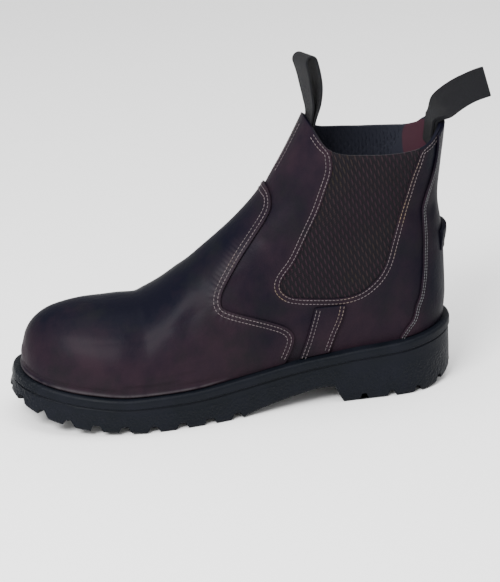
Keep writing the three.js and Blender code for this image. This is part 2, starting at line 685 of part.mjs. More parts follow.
// The well inside the edge lugs between two stations.
function treadWell({ from, to }) {
  const roof = (x) => underside(x) + LUG_DEPTH;
  const steps = WELL_STEPS;
  const rows = (height) => {
    const outer = [];
    const inner = [];
    for (let i = 0; i <= steps; i++) {
      const x = mix(from, to, i / steps) * SOLE_LENGTH;
      const share = roundEnds(x, LUG_REACH, SOLE_LENGTH - LUG_REACH);
      const half = (side) => Math.max(PAST_FACE, (planHalf(x, side) - LUG_REACH) * share);
      outer.push(new THREE.Vector3(x, centreY(x) + half(1), height(x)));
      inner.push(new THREE.Vector3(x, centreY(x) - half(-1), height(x)));
    }
    return { outer, inner };
  };
  const low = rows((x) => underside(x) - PAST_FACE);
  const high = rows(roof);
  const points = [low.outer, low.inner, high.outer, high.inner].flat();
  const n = steps + 1;
  const faces = [];
  const quad = (a, b, c, d) => faces.push([a, b, c], [a, c, d]);
  for (let i = 0; i < steps; i++) {
    quad(i, i + 1, n + i + 1, n + i);
    quad(2 * n + i, 3 * n + i, 3 * n + i + 1, 2 * n + i + 1);
    quad(i, 2 * n + i, 2 * n + i + 1, i + 1);
    quad(n + i, n + i + 1, 3 * n + i + 1, 3 * n + i);
  }
  quad(0, n, 3 * n, 2 * n);
  quad(steps, 2 * n + steps, 3 * n + steps, n + steps);
  return toSolid(points, faces);
}

// One notch through the edge, square to the outline. It deepens past the floor on its own slope,
// so that the mouth has its width where it meets the tread, also on the rising toe.
function edgeNotch(point, inward, size) {
  const acrossWay = new THREE.Vector2(-inward.y, inward.x);
  const bottom = underside(point.x) - LUG_DEPTH;
  const roof = underside(point.x) + LUG_DEPTH;
  const low = 2 * size.mouth - size.roof;
  const near = -LUG_DEPTH;
  const far = LUG_REACH + LUG_DEPTH;
  const corners = (width, z) => [[-1, near], [1, near], [1, far], [-1, far]]
    .map(([s, reach]) => new THREE.Vector3(
      point.x + inward.x * reach + (acrossWay.x * s * width) / 2,
      point.y + inward.y * reach + (acrossWay.y * s * width) / 2,
      z,
    ));
  return frustum(corners(low, bottom), corners(size.roof, roof));
}

// Notches at an even pitch along the part of the outline that a test accepts.
function edgeNotches(accepts, start, size) {
  const ring = soleRing(0, underside);
  const path = ring.filter((p) => accepts(p.x));
  const cut = ring.findIndex((p, k) => accepts(p.x) && !accepts(ring[(k + ring.length - 1) % ring.length].x));
  const ordered = path.map((p, k) => ring[(cut + k) % ring.length]);
  const notches = [];
  let next = start * LUG_PITCH;
  let walked = 0;
  for (let k = 1; k < ordered.length; k++) {
    const run = new THREE.Vector2(ordered[k].x - ordered[k - 1].x, ordered[k].y - ordered[k - 1].y);
    const length = run.length();
    while (next <= walked + length) {
      const t = (next - walked) / length;
      const point = new THREE.Vector2(mix(ordered[k - 1].x, ordered[k].x, t),
        mix(ordered[k - 1].y, ordered[k].y, t));
      notches.push(edgeNotch(point, new THREE.Vector2(run.y / length, -run.x / length), size));
      next += LUG_PITCH;
    }
    walked += length;
  }
  return notches;
}

// A six-sided lug in the middle of the tread.
function centreLug(x, y) {
  const long = CENTRE_LUG_LENGTH / 2;
  const wide = CENTRE_LUG_WIDTH / 2;
  const corners = [[long, 0], [long / 2, wide], [-long / 2, wide], [-long, 0], [-long / 2, -wide],
    [long / 2, -wide]];
  const ring = (grow, height) => corners.map(([dx, dy]) =>
    new THREE.Vector3(x + dx * grow, y + dy * grow, height(x + dx * grow)));
  const flare = 1 + LUG_ROOT / CENTRE_LUG_LENGTH;
  return frustum(ring(1, underside), ring(flare, (at) => underside(at) + LUG_DEPTH + LUG_ROOT));
}

function centreLugs() {
  const lugs = [];
  const { start, single, end } = CENTRE_LUG_ROWS;
  for (let x = start * SOLE_LENGTH; x < end * SOLE_LENGTH; x += LUG_PITCH) {
    const sides = x < single * SOLE_LENGTH ? [1, -1] : [0];
    sides.forEach((s) => lugs.push(centreLug(x, centreY(x) + s * CENTRE_LUG_SPLAY)));
  }
  for (let x = ORIGIN_X - LUG_PITCH; x < HEEL_BREAST * SOLE_LENGTH - CENTRE_LUG_LENGTH; x += LUG_PITCH) {
    lugs.push(centreLug(x, 0));
  }
  return lugs;
}

function makeOutsole() {
  const cup = loft(movedRings(UPPER_OUT + CLEARANCE, CLEARANCE));
  const onTread = (x) => x / SOLE_LENGTH > TREAD_START - 1e-4;
  const onHeel = (x) => x / SOLE_LENGTH < HEEL_BREAST + 1e-4;
  const heelSize = { mouth: HEEL_NOTCH_MOUTH, roof: HEEL_NOTCH_ROOF };
  const forefoot = edgeNotches(onTread, FIRST_NOTCH, { mouth: NOTCH_MOUTH, roof: NOTCH_ROOF });
  const heel = edgeNotches(onHeel, FIRST_HEEL_NOTCH, heelSize);
  let sole = makeSoleBody().subtract(cup);
  for (const cutter of [...WELLS.map(treadWell), ...forefoot, ...heel]) sole = sole.subtract(cutter);
  for (const lug of centreLugs()) sole = sole.add(lug);
  return sole;
}

function makeInsole() {
  const inside = loft(movedRings(UPPER_IN - CLEARANCE));
  const layer = loft([
    soleRing(0, (x) => upperFoot(x)),
    soleRing(0, (x) => upperFoot(x) + INSOLE_THICKNESS),
  ]);
  return inside.intersect(layer);
}

// A flat strap through stations that give its middle, its width's direction and its face's.
function strapSolid(stations) {
  const rings = stations.map(({ middle, across, face }) => [[-1, -1], [1, -1], [1, 1], [-1, 1]]
    .map(([s, t]) => middle.clone()
      .addScaledVector(across, (s * LOOP_WIDTH) / 2)
      .addScaledVector(face, (t * LOOP_THICKNESS) / 2)));
  const count = 4;
  const last = (rings.length - 1) * count;
  const faces = [...wallFaces(rings.length, count, 0, false), [0, 2, 1], [0, 3, 2],
    [last, last + 1, last + 2], [last, last + 2, last + 3]];
  return toSolid(rings.flat(), faces);
}

// A loop of webbing, sewn flat inside the collar from low to foot. Above the foot its two legs
// follow one curve over the knee to the tip, and its width turns about that curve.
function loopStations({ low, foot, knee, tip, gap, turn }) {
  const level = new THREE.Vector3(0, 1, 0);
  const curve = new THREE.QuadraticBezierCurve3(foot, knee, tip);
  const pair = (middle, up, angle, open) => {
    const across = level.clone().applyAxisAngle(up, angle);
    return { middle, up, across, face: across.clone().cross(up), open };
  };
  const sewnWay = new THREE.Vector3().subVectors(foot, low).normalize();
  const legs = [pair(low, sewnWay, 0, 2 * CLEARANCE), pair(foot, sewnWay, 0, 2 * CLEARANCE)];
  for (let i = 1; i <= LOOP_STEPS; i++) {
    const t = i / LOOP_STEPS;
    const angle = mix(turn.foot, turn.tip, t) * smooth(t / LEG.turned);
    const open = mix(2 * CLEARANCE, gap, smooth(t / LEG.apart));
    legs.push(pair(curve.getPoint(t), curve.getTangent(t), angle, open));
  }
  const offset = (open) => (open + LOOP_THICKNESS) / 2;
  const leg = (sign) => legs.map(({ middle, across, face, open }) => ({
    middle: middle.clone().addScaledVector(face, sign * offset(open)),
    across,
    face: face.clone().multiplyScalar(sign),
  }));
  const end = legs[legs.length - 1];
  const bend = [];
  for (let i = 1; i < LOOP_TURNS; i++) {
    const angle = (Math.PI * i) / LOOP_TURNS;
    const face = end.face.clone().multiplyScalar(Math.cos(angle));
    face.addScaledVector(end.up, Math.sin(angle));
    const middle = end.middle.clone().addScaledVector(face, offset(end.open));
    bend.push({ middle, across: end.across, face });
  }
  return [...leg(1), ...bend, ...leg(-1).reverse()];
}

// The upper's inner face at a height, where the edge of a flat strap comes nearest to it.
function innerFace(z, start, step) {
  const reach = LOOP_WIDTH / 2 + WALL / 2 + CLEARANCE;
  let x = start(z);
  while (halfWidth(x, z, 1) < reach) x += step;
  const slopeX = halfWidth(x + 0.5, z, 1) - halfWidth(x - 0.5, z, 1);
  const slopeZ = halfWidth(x, z + 0.5, 1) - halfWidth(x, z - 0.5, 1);
  const normal = new THREE.Vector3(-slopeX, 1, -slopeZ).normalize();
  return new THREE.Vector3(x + normal.x * UPPER_IN, 0, z + normal.z * UPPER_IN);
}

// The ends of the sewn part of a loop, the whole pair of legs clear of the leather.
function sewnEnds(top, start, step) {
  const foot = innerFace(top, start, step);
  const low = innerFace(top - LOOP_SEWN, start, step);
  const away = new THREE.Vector3(foot.z - low.z, 0, low.x - foot.x).normalize();
  const room = LOOP_THICKNESS + 2.5 * CLEARANCE;
  return [low, foot].map((p) => p.addScaledVector(away, Math.sign(step) * room));
}

function makeFrontLoop() {
  const [low, foot] = sewnEnds(SHAFT_HEIGHT * FRONT_LOOP.sewnTop, shaftFrontX, -0.05);
  const tipZ = SHAFT_HEIGHT + FRONT_LOOP_HEIGHT - FRONT_LOOP_GAP / 2 - LOOP_THICKNESS;
  const ahead = (share) => foot.x + share * FRONT_LOOP_HEIGHT;
  const tip = new THREE.Vector3(ahead(FRONT_LOOP.tipAhead), 0, tipZ);
  const knee = new THREE.Vector3(ahead(FRONT_LOOP.kneeAhead), 0, mix(foot.z, tipZ, 0.5));
  return strapSolid(loopStations({ low, foot, knee, tip, gap: FRONT_LOOP_GAP, turn: FRONT_LOOP.turn }));
}

function makeRearLoop() {
  const [low, foot] = sewnEnds(SHAFT_HEIGHT * REAR_LOOP.sewnTop, backX, 0.05);
  const way = (share, lean) => new THREE.Vector3(
    foot.x + share * REAR_LOOP_LENGTH * Math.cos(lean),
    0,
    foot.z + share * REAR_LOOP_LENGTH * Math.sin(lean),
  );
  const tip = way(1, REAR_LOOP.lean);
  const knee = way(0.5, REAR_LOOP.kneeLean);
  return strapSolid(loopStations({ low, foot, knee, tip, gap: REAR_LOOP_GAP, turn: REAR_LOOP.turn }));
}

const LEATHER = { color: 0x3a2a30, roughness: 0.5, metalness: 0 };
const DARK_LEATHER = { color: 0x32252b, roughness: 0.5, metalness: 0 };
const RUBBER = { color: 0x1f2226, roughness: 0.8, metalness: 0 };
const ELASTIC = { color: 0x3c3038, roughness: 0.9, metalness: 0 };
const WEBBING = { color: 0x1c1e24, roughness: 0.85, metalness: 0 };
const LINING = { color: 0x6d5a4a, roughness: 0.9, metalness: 0 };

const boot = new THREE.Group();

function addPiece(name, solid, look) {
  const mesh = solid.getMesh();
  const geometry = new THREE.BufferGeometry();
  const places = [];
  for (let i = 0; i < mesh.numVert; i++) {
    places.push(...mesh.vertProperties.subarray(i * mesh.numProp, i * mesh.numProp + 3));
  }
  geometry.setAttribute('position', new THREE.Float32BufferAttribute(places, 3));
  geometry.setIndex(new THREE.BufferAttribute(mesh.triVerts, 1));
  geometry.computeVertexNormals();
  const piece = new THREE.Mesh(geometry, new THREE.MeshStandardMaterial(look));
  piece.name = name;
  piece.position.x = -ORIGIN_X;
  boot.add(piece);
}

addPiece('outsole', makeOutsole(), RUBBER);
addPiece('insole', makeInsole(), LINING);
addPiece('upper', makeUpper(), LEATHER);
addPiece('vamp', makeVamp(), LEATHER);
addPiece('heel_counter', makeCounter(), DARK_LEATHER);
addPiece('side_strap_outer', makeStrap(1), LEATHER);
addPiece('side_strap_inner', makeStrap(-1), LEATHER);
addPiece('gore_outer', makeGore(1), ELASTIC);
addPiece('gore_inner', makeGore(-1), ELASTIC);
addPiece('spur_rest', makeSpurRest(), DARK_LEATHER);
addPiece('pull_loop_front', makeFrontLoop(), WEBBING);
addPiece('pull_loop_rear', makeRearLoop(), WEBBING);

export default boot;
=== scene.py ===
import math

import bmesh
import bpy
import numpy as np
from bpy.props import FloatProperty, FloatVectorProperty, IntProperty, PointerProperty
from mathutils import Matrix, Vector


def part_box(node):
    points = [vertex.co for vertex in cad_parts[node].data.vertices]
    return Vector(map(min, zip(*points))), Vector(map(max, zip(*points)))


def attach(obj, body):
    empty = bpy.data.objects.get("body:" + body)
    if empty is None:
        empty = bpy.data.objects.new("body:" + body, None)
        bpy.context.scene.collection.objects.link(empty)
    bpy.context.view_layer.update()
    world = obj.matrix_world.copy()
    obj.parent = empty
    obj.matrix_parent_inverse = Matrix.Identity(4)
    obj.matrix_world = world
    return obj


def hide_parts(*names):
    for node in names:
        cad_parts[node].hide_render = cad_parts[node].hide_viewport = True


bl_info = {
    "name": "Pull-on Safety Boot",
    "version": (1, 0, 0),
    "blender": (4, 5, 0),
    "location": "View3D > Sidebar > Boot",
    "description": "Dresses a pull-on safety boot: leather, elastic, webbing, thread and rubber",
    "category": "Object",
}

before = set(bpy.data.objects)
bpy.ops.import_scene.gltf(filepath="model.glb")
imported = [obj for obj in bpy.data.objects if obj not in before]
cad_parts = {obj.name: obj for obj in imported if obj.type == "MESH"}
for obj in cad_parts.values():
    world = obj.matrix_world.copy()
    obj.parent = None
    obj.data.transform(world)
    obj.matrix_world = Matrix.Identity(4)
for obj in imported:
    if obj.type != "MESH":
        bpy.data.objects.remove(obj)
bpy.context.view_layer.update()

# Lengths are metres. x runs from the back of the heel to the toe, y to the outer side of the left
# foot and z up from the floor. The frame's origin lies a share of the length ahead of the heel.
MM = 0.001
ORIGIN_SHARE = 0.168

# Half widths as shares of the width there, on the outer and the inner side of the foot
SOLE_PLAN = {
    "at": (0, 0.134, 0.252, 0.336, 0.419, 0.503, 0.587, 0.671, 0.755, 0.839, 1),
    "outer": (0.486, 0.5, 0.5, 0.478, 0.456, 0.451, 0.466, 0.49, 0.5, 0.5, 0.5),
    "inner": (0.473, 0.493, 0.48, 0.44, 0.404, 0.4, 0.423, 0.466, 0.495, 0.505, 0.505),
}
WAIST_START, WAIST_LENGTH = 0.25, 0.35
TOE_ROUND = {"from": 0.688, "power": 2.35}
HEEL_ROUND = {"from": 0.148, "power": 2.1}
TOE_SWING = {"from": 0.57, "share": 0.048, "power": 1.6}
# Top edge of the rubber: shares of the heel's edge and of the ball's, added up
TOP_EDGE = {
    "at": (0, 0.067, 0.151, 0.262, 0.369, 0.503, 0.638, 0.738, 0.839, 0.923, 1),
    "heel": (1, 0.943, 0.874, 0.816, 0.5, 0.12, 0, 0, 0, 0, 0),
    "ball": (0, 0, 0, 0, 0.43, 0.912, 1, 1, 1.12, 1.28, 1.48),
}
# Underside: shares of the heel's roll, the arch's rise and the toe's spring
UNDERSIDE = {
    "at": (0, 0.027, 0.06, 0.094, 0.268, 0.289, 0.315, 0.37, 0.425, 0.48, 0.511, 0.7, 0.755,
           0.839, 0.923, 0.973, 1),
    "heel": (1, 0.5, 0.13, 0, 0, 0, 0, 0, 0, 0, 0, 0, 0, 0, 0, 0, 0),
    "arch": (0, 0, 0, 0, 0, 1, 1, 0.8, 0.54, 0.22, 0, 0, 0, 0, 0, 0, 0),
    "toe": (0, 0, 0, 0, 0, 0, 0, 0, 0, 0, 0, 0, 0.07, 0.2, 0.48, 0.78, 1),
}
HEEL_BREAST, TREAD_START = 0.268, 0.511
WELLS = ((0.055, 0.238), (0.541, 0.945))
WELL_LEAST = 0.75 * MM
WELL_GRID = (8, 40)
CENTRE_LUG_ROWS = {"start": 0.556, "single": 0.87, "end": 0.93}
FIRST_HEEL_NOTCH, FIRST_NOTCH = 0.8, 0.03
TOE_LEAN = {"from": 0.78, "length": 0.2}
CENTRE_LUG_CORNERS = ((1, 0), (0.5, 1), (-0.5, 1), (-1, 0), (-0.5, -1), (0.5, -1))
CENTRE_LUG_DRAFT, CENTRE_LUG_ROOT = 1.09, 1 * MM
# Rings of the outsole's side. In the table each has its inward lean, its height in millimetres
# above the rim's foot, and where it stands.
SOLE_TURNS = 300
SIDE_RINGS, SIDE_LEAN = 9, 0.55
GROOVE_DEPTH = 0.5 * MM
GROOVE_RINGS = (
    (0.55, -1.6, "side"),
    (0.55, -1.0, "groove"),
    (0.57, -0.3, "groove"),
    (0.6, 0.7, "rim"),
    (0.62, 1.2, "rim"),
    (0.7, 2.4, "rim"),
    (0.78, 3.4, "rim"),
)
RIM_RINGS, RIM_LEAN = 5, 0.85
LID_COLUMNS = 12
SOLE_WELD, LEAST_EDGE = 0.03 * MM, 0.01 * MM
NOTCH_SAMPLES = 4000
# Where the moulded grain shows on the rubber, as shares of the edge's height and of the length
GRAIN = {"down": 0.4, "fade": 2 * MM, "toe": 0.9, "toe_fade": 0.06, "least": 0.15}
# The ridge from the toe's tip over the instep to the collar. The row up counts the named heights:
# 1 is the toe's, 2 the instep's and 3 the shaft's.
RIDGE = {
    "at": (0.971, 0.97, 0.963, 0.955, 0.94, 0.919, 0.893, 0.866, 0.839, 0.812, 0.762, 0.708,
           0.681, 0.651, 0.592, 0.534, 0.475, 0.42, 0.396, 0.366, 0.34, 0.316),
    "up": (0.4, 0.577, 0.667, 0.756, 0.84, 0.904, 0.949, 0.972, 0.987, 0.995, 0.996, 1,
           1.094, 1.234, 1.594, 2, 2.171, 2.372, 2.506, 2.677, 2.84, 3),
}
INSTEP_ROW = 11
FLOOR_FRONT = 1.15
BACK_SEAM = {
    "up": (0.1, 0.227, 0.328, 0.443, 0.547, 0.667, 0.781, 0.885, 1.1),
    "at": (0.024, 0.012, 0.006, 0.0067, 0.0095, 0.0175, 0.0095, 0.0005, -0.015),
}
COLLAR = {
    "at": (-0.0034, 0.016, 0.04, 0.067, 0.101, 0.154, 0.208, 0.252, 0.28, 0.316),
    "up": (0.935, 0.917, 0.888, 0.877, 0.876, 0.879, 0.887, 0.897, 0.917, 1),
}
SHAFT = {
    "up": (0.15, 0.26, 0.417, 0.573, 0.729, 0.885, 1.04),
    "half": (0.493, 0.507, 0.493, 0.478, 0.478, 0.5, 0.507),
    "front": (0.2, 0.2, 0.2, 0.188, 0.174, 0.164, 0.161),
    "back": (0.128, 0.128, 0.134, 0.141, 0.154, 0.161, 0.158),
    "power": (2, 2.1, 2.1, 2.1, 2.1, 2.15, 2.2),
}
SECTION = {"low": 2.6, "high": 2, "bulge": 0.05, "top": 0.7}
SHAFT_FADE = {"at": 0.62, "length": 0.285}
WAIST_FADE = {"up": 0.182, "height": 0.39}
ROW_CROWDING, FOOT_CROWDING = 1.3, 0.55
# Keeps the face open beside the back seam
SEAM_ROOM = 0.2
LEVEL_ROWS = 18
# How finely lines on the face are sampled and searched for
FRONT_SAMPLES, TABLE_SAMPLES, LANDING_SAMPLES = 1600, 161, 241
REAR_STEPS, FRONT_HALVINGS, LANDING_HALVINGS, LOCATE_STEPS = 20, 26, 30, 8
LOCATE_REACH = 0.05
TABLE_TOP, LANDING_TOP = 1.06, 0.3
# Steps of turn and rise for the face's directions
ASIDE, ALONG = 0.02, 0.004
ROW_STEP = 1 * MM
ROW_EASE, GORE_ROW_EASE = 2, 5

# Outlines in side view, x as a share of the sole's length and z as a share of the shaft's height
GORE_FRONT = {
    "at": (0.276, 0.2708, 0.2715, 0.2825, 0.303, 0.331, 0.3617, 0.388, 0.398, 0.388),
    "up": (0.93, 0.8765, 0.836, 0.788, 0.707, 0.623, 0.531, 0.482, 0.448, 0.42),
}
GORE_FOOT = {
    "at": (0.388, 0.364, 0.288, 0.243, 0.207, 0.175),
    "up": (0.42, 0.4, 0.382, 0.381, 0.4, 0.442),
}
GORE_REAR = {
    "at": (0.175, 0.158, 0.145, 0.1245, 0.104, 0.0866, 0.074, 0.06),
    "up": (0.442, 0.49, 0.554, 0.649, 0.729, 0.8, 0.839, 0.912),
}
VAMP_EDGE = {
    "at": (0.425, 0.394, 0.381, 0.373, 0.375, 0.39, 0.421, 0.456, 0.491, 0.519, 0.5305, 0.528,
           0.514, 0.476, 0.436, 0.416, 0.403, 0.4, 0.402, 0.42),
    "up": (0.1, 0.172, 0.21, 0.246, 0.273, 0.3, 0.326, 0.35, 0.372, 0.391, 0.408, 0.439,
           0.476, 0.557, 0.635, 0.676, 0.71, 0.738, 0.762, 0.83),
}
COUNTER_EDGE = {
    "at": (0.15, 0.131, 0.117, 0.1, 0.092, 0.0815, 0.0725, 0.069, 0.065, 0.0557, 0.0443,
           0.0315, 0.024, 0.022),
    "up": (0.15, 0.207, 0.238, 0.271, 0.318, 0.355, 0.44, 0.55, 0.654, 0.706, 0.743, 0.795,
           0.86, 1),
}
STRAP_FRONT = {"at": (0.38, 0.364, 0.3436, 0.331, 0.3215), "up": (0.1, 0.164, 0.242, 0.304, 0.355)}
STRAP_REAR = {"at": (0.312, 0.298, 0.2785, 0.261, 0.2527), "up": (0.1, 0.164, 0.242, 0.304, 0.355)}
# The depth of the spur rest at its foot and its fall to the sides are shares of its full depth
SPUR = {"low": 0.482, "high": 0.552, "front": 0.024, "foot": 0.3, "fall": 0.35, "seat": 0.1 * MM}

# Soft creases: a line in side view, its depth and half breadth in millimetres.
# A depth below zero is a ridge. The line at the toe marks the rear edge of the hard cap inside.
CREASES = (
    {"at": (0.69, 0.7, 0.715, 0.74), "up": (0.42, 0.36, 0.29, 0.2), "depth": 0.4, "breadth": 8},
    {"at": (0.735, 0.745, 0.76, 0.785), "up": (0.42, 0.36, 0.28, 0.2), "depth": -0.3, "breadth": 7},
    {"at": (0.62, 0.66, 0.72, 0.78), "up": (0.172, 0.168, 0.166, 0.17), "depth": 0.8, "breadth": 1.9},
    {"at": (0.58, 0.63, 0.69, 0.74), "up": (0.2, 0.192, 0.19, 0.195), "depth": 0.6, "breadth": 2},
    {"at": (0.56, 0.6, 0.65), "up": (0.228, 0.22, 0.218), "depth": 0.4, "breadth": 2.2},
    {"at": (0.54, 0.57, 0.6, 0.615), "up": (0.52, 0.44, 0.36, 0.3), "depth": 0.8, "breadth": 7},
    {"at": (0.585, 0.61, 0.64, 0.65), "up": (0.5, 0.43, 0.36, 0.29), "depth": -0.5, "breadth": 8},
    {"at": (0.5, 0.48, 0.455, 0.43), "up": (0.5, 0.46, 0.43, 0.41), "depth": 0.7, "breadth": 6},
    {"at": (0.44, 0.41, 0.385), "up": (0.63, 0.6, 0.585), "depth": 0.6, "breadth": 6},
    {"at": (0.03, 0.07, 0.11), "up": (0.64, 0.655, 0.67), "depth": 0.9, "breadth": 6},
    {"at": (0.02, 0.06, 0.1), "up": (0.55, 0.54, 0.56), "depth": -0.5, "breadth": 6},
    {"at": (0.12, 0.17, 0.23), "up": (0.3, 0.285, 0.29), "depth": 0.5, "breadth": 5},
    {"at": (0.35, 0.37, 0.38), "up": (0.38, 0.34, 0.31), "depth": 0.5, "breadth": 5},
)
# The roll of leather just above the rubber and the dip over it: height, place and half breadth in
# millimetres. It fades in ahead of the waist.
ROLLS = ((1.15, 1.6, 1.3), (-0.4, 4.6, 1.6))
ROLL_FADE = {"at": 0.5, "length": 0.12}

# Places that the leather's finish knows: beside seams, on the roll and in the puckers of the vamp.
# The roll and the puckers get a painted highlight.
SEAM_REACH = 9 * MM
LIP_UP, LIP_BREADTH = 1.9 * MM, 0.6 * MM
LIP_FADE = {"at": 0.5, "length": 0.1}
PUCKERS = {"at": (0.52,), "up": (0.47,), "pitch": 2.9 * MM, "reach": 22 * MM, "breadth": 11 * MM,
           "clear": 1.5 * MM, "spread": 1.6}
# The red leather inside the heel: middle and half size, as shares of the length and the height
HEEL_PATCH = {"at": 0, "reach": 0.074, "up": 0.818, "depth": 0.091, "power": 3}

# How far from the ridge the vamp's edge and its rows of stitches end, and how high up the vamp its
# rows of points still follow the sole
TONGUE_TIP, TONGUE_ROW, SUNK_FADE = 0.012, 0.03, 0.3
# Columns and rows of the pieces' grids. The upper's are for the front, the foot of the front, the
# foot of the gore, the foot of the rear and the rear.
UPPER_GRIDS = ((70, 70), (70, 46), (46, 46), (34, 46), (34, 66))
VAMP_GRID, COUNTER_GRID, STRAP_GRID = (220, 170), (64, 110), (20, 32)
GORE_GRID, SPUR_GRID = (320, 130), (28, 14)
RIM_ROUND, OVERLAY_ROUND = 0.5 * MM, 0.45 * MM

# Ribs of the elastic. Widths and the stagger are shares of the pitch and the length.
RIB_LEAN = math.radians(15)
RIB_WIDTH = 0.17
RIB_HEIGHT = 0.45 * MM
RIB_STAGGER = 0.382
RIB_FULLNESS, RIB_BLUNT = 1.35, 0.1
# How fast the ribs fade in from the rear, the front, the foot and the collar
RIB_FADES = (30, 30, 40, 25)

# The loops' directions are radians, and their other values shares of the height or of the loop
LOOP_FRONT = {"sewn": 0.99, "tip": 0.04, "knee": -0.105, "foot_turn": 0.1, "tip_turn": 0.3}
LOOP_REAR = {"sewn": 0.935, "lean": 2.62, "knee_lean": 2.28, "foot_turn": 0.7, "tip_turn": 1.35}
LEG_TURNED, LEG_APART = 0.33, 0.67
# The step of the search for a loop's place, and clearances between its tape and the leather
SEWN_STEP, SEWN_ROOM = 0.05 * MM, 2.5
WARP_SCALE, WEFT_SCALE = 180 / (2 * math.pi), 1200 / (2 * math.pi)
SEWN_STATIONS, LEG_STATIONS, BEND_STATIONS, TAPE_COLUMNS = 10, 40, 12, 12

# Distances of the rows of stitches from their edges, in millimetres
STITCH_ROWS = {
    "gore": (1.2, 3.9),
    "vamp": (1.9, 4.5),
    "strap": (1.1, 3.5),
    "counter": (0.9, 2.4),
    "shin": 2.6,
}
COUNTER_STITCH = 0.8
THREAD_LIFT = 0.22 * MM
STITCH_BLUNT, STITCH_DIP, STITCH_FLAT = 0.7, 0.7, 0.8
# Turns at which the gore's rows end on the collar and the vamp's rows start over the ridge
COLLAR_ROW_FRONT, COLLAR_ROW_REAR, OVER_RIDGE = 0.88, 0.1, 0.94
COLLAR_ROW_SAMPLES, OVER_RIDGE_SAMPLES = 30, 15
# How high up the counter its rows end, and the rises between which the shin's rows run
COUNTER_TOP = 0.99
SHIN_ROW = {"above_vamp": 0.015, "top": 0.985, "samples": 60}

CAMERA = {"azimuth": 7.0, "elevation": 22.5, "roll": -3.7, "distance": 1.5, "focus": 2258.0,
          "centre": (217.8, 283.3), "aim": (0.155, 0.0, 0.08), "image": (500, 582), "clip": (0.05, 20)}
SENSOR = 36.0
LAMPS = (
    {"name": "key", "at": (0.75, 0.9, 1.15), "size": (0.8, 0.5), "power": 42},
    {"name": "top", "at": (0.1, 0.1, 1.4), "size": (1.4, 1.0), "power": 20},
    {"name": "rim", "at": (-0.9, -0.5, 0.8), "size": (0.7, 0.7), "power": 2},
)
LAMP_AIM = (0.08, 0, 0.08)
SKY_STRENGTH = 0.95
FLOOR_REACH = 6


class SafetyBootSizes(bpy.types.PropertyGroup):
    """Sizes of the boot that a user would change."""

    def length(text, default):
        name = text[0].upper() + text[1:]
        return FloatProperty(name=name, description=f"Size of the {text}", default=default * MM,
                             subtype="DISTANCE", unit="LENGTH", precision=4)

    sole_length: length("sole length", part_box("outsole")[1].x / (1 - ORIGIN_SHARE) / MM)
    ball_width: length("ball width", 103)
    heel_width: length("heel width", 74)
    heel_edge: length("top edge of the rubber at the heel", 43.5)
    ball_edge: length("top edge of the rubber at the ball", 25)
    toe_spring: length("toe spring", 21)
    heel_roll: length("bevel at the back of the heel", 8)
    arch_rise: length("arch rise", 12)
    toe_draft: length("inward lean of the toe's rubber", 4.5)
    rim_height: length("raised rim", 6.5)
    rim_step: length("step below the rim", 0.9)
    edge_round: length("rounding of the rim", 2.2)
    tread_bevel: length("bevel round the tread", 1.4)
    lug_depth: length("lug depth", 4.6)
    lug_pitch: length("lug pitch", 18.9)
    lug_reach: length("inward reach of the edge lugs", 14)
    notch_mouth: length("mouth of a forefoot notch", 9)
    notch_roof: length("roof of a forefoot notch", 4.4)
    heel_notch_mouth: length("mouth of a heel notch", 7)
    heel_notch_roof: length("roof of a heel notch", 2.6)
    centre_lug_length: length("centre lug length", 11)
    centre_lug_width: length("centre lug width", 13)
    centre_lug_splay: length("distance of the centre lugs from the middle", 9)
    cup_depth: length("depth that the upper stands in the sole", 6)
    toe_height: length("toe height", 78)
    instep_height: length("instep height", 110)
    shaft_height: length("shaft height", 192)
    shaft_width: length("shaft width", 69)
    toe_shelf: length("bare rubber in front of the toe", 9)
    side_shelf: length("bare rubber beside the upper", 4.5)
    wall: length("leather wall", 2.2)
    overlay: length("overlay leather", 1.5)
    gore_thickness: length("elastic thickness", 1.6)
    rib_pitch: length("pitch of the elastic's ribs", 2.5)
    rib_length: length("length of the elastic's ribs", 6.6)
    spur_depth: length("spur rest depth", 3)
    clearance: length("clearance between pieces", 0.3)
    loop_width: length("width of the webbing", 20)
    loop_thickness: length("thickness of the webbing", 1.6)
    front_loop_height: length("front loop height", 40)
    front_loop_gap: length("gap in the front loop", 6)
    rear_loop_length: length("rear loop length", 41)
    rear_loop_gap: length("gap in the rear loop", 1.2)
    loop_sewn: length("sewn end of a loop", 18)
    stitch_pitch: length("stitch pitch", 2.5)
    stitch_length: length("stitch length", 2.0)
    thread: length("thread thickness", 0.62)


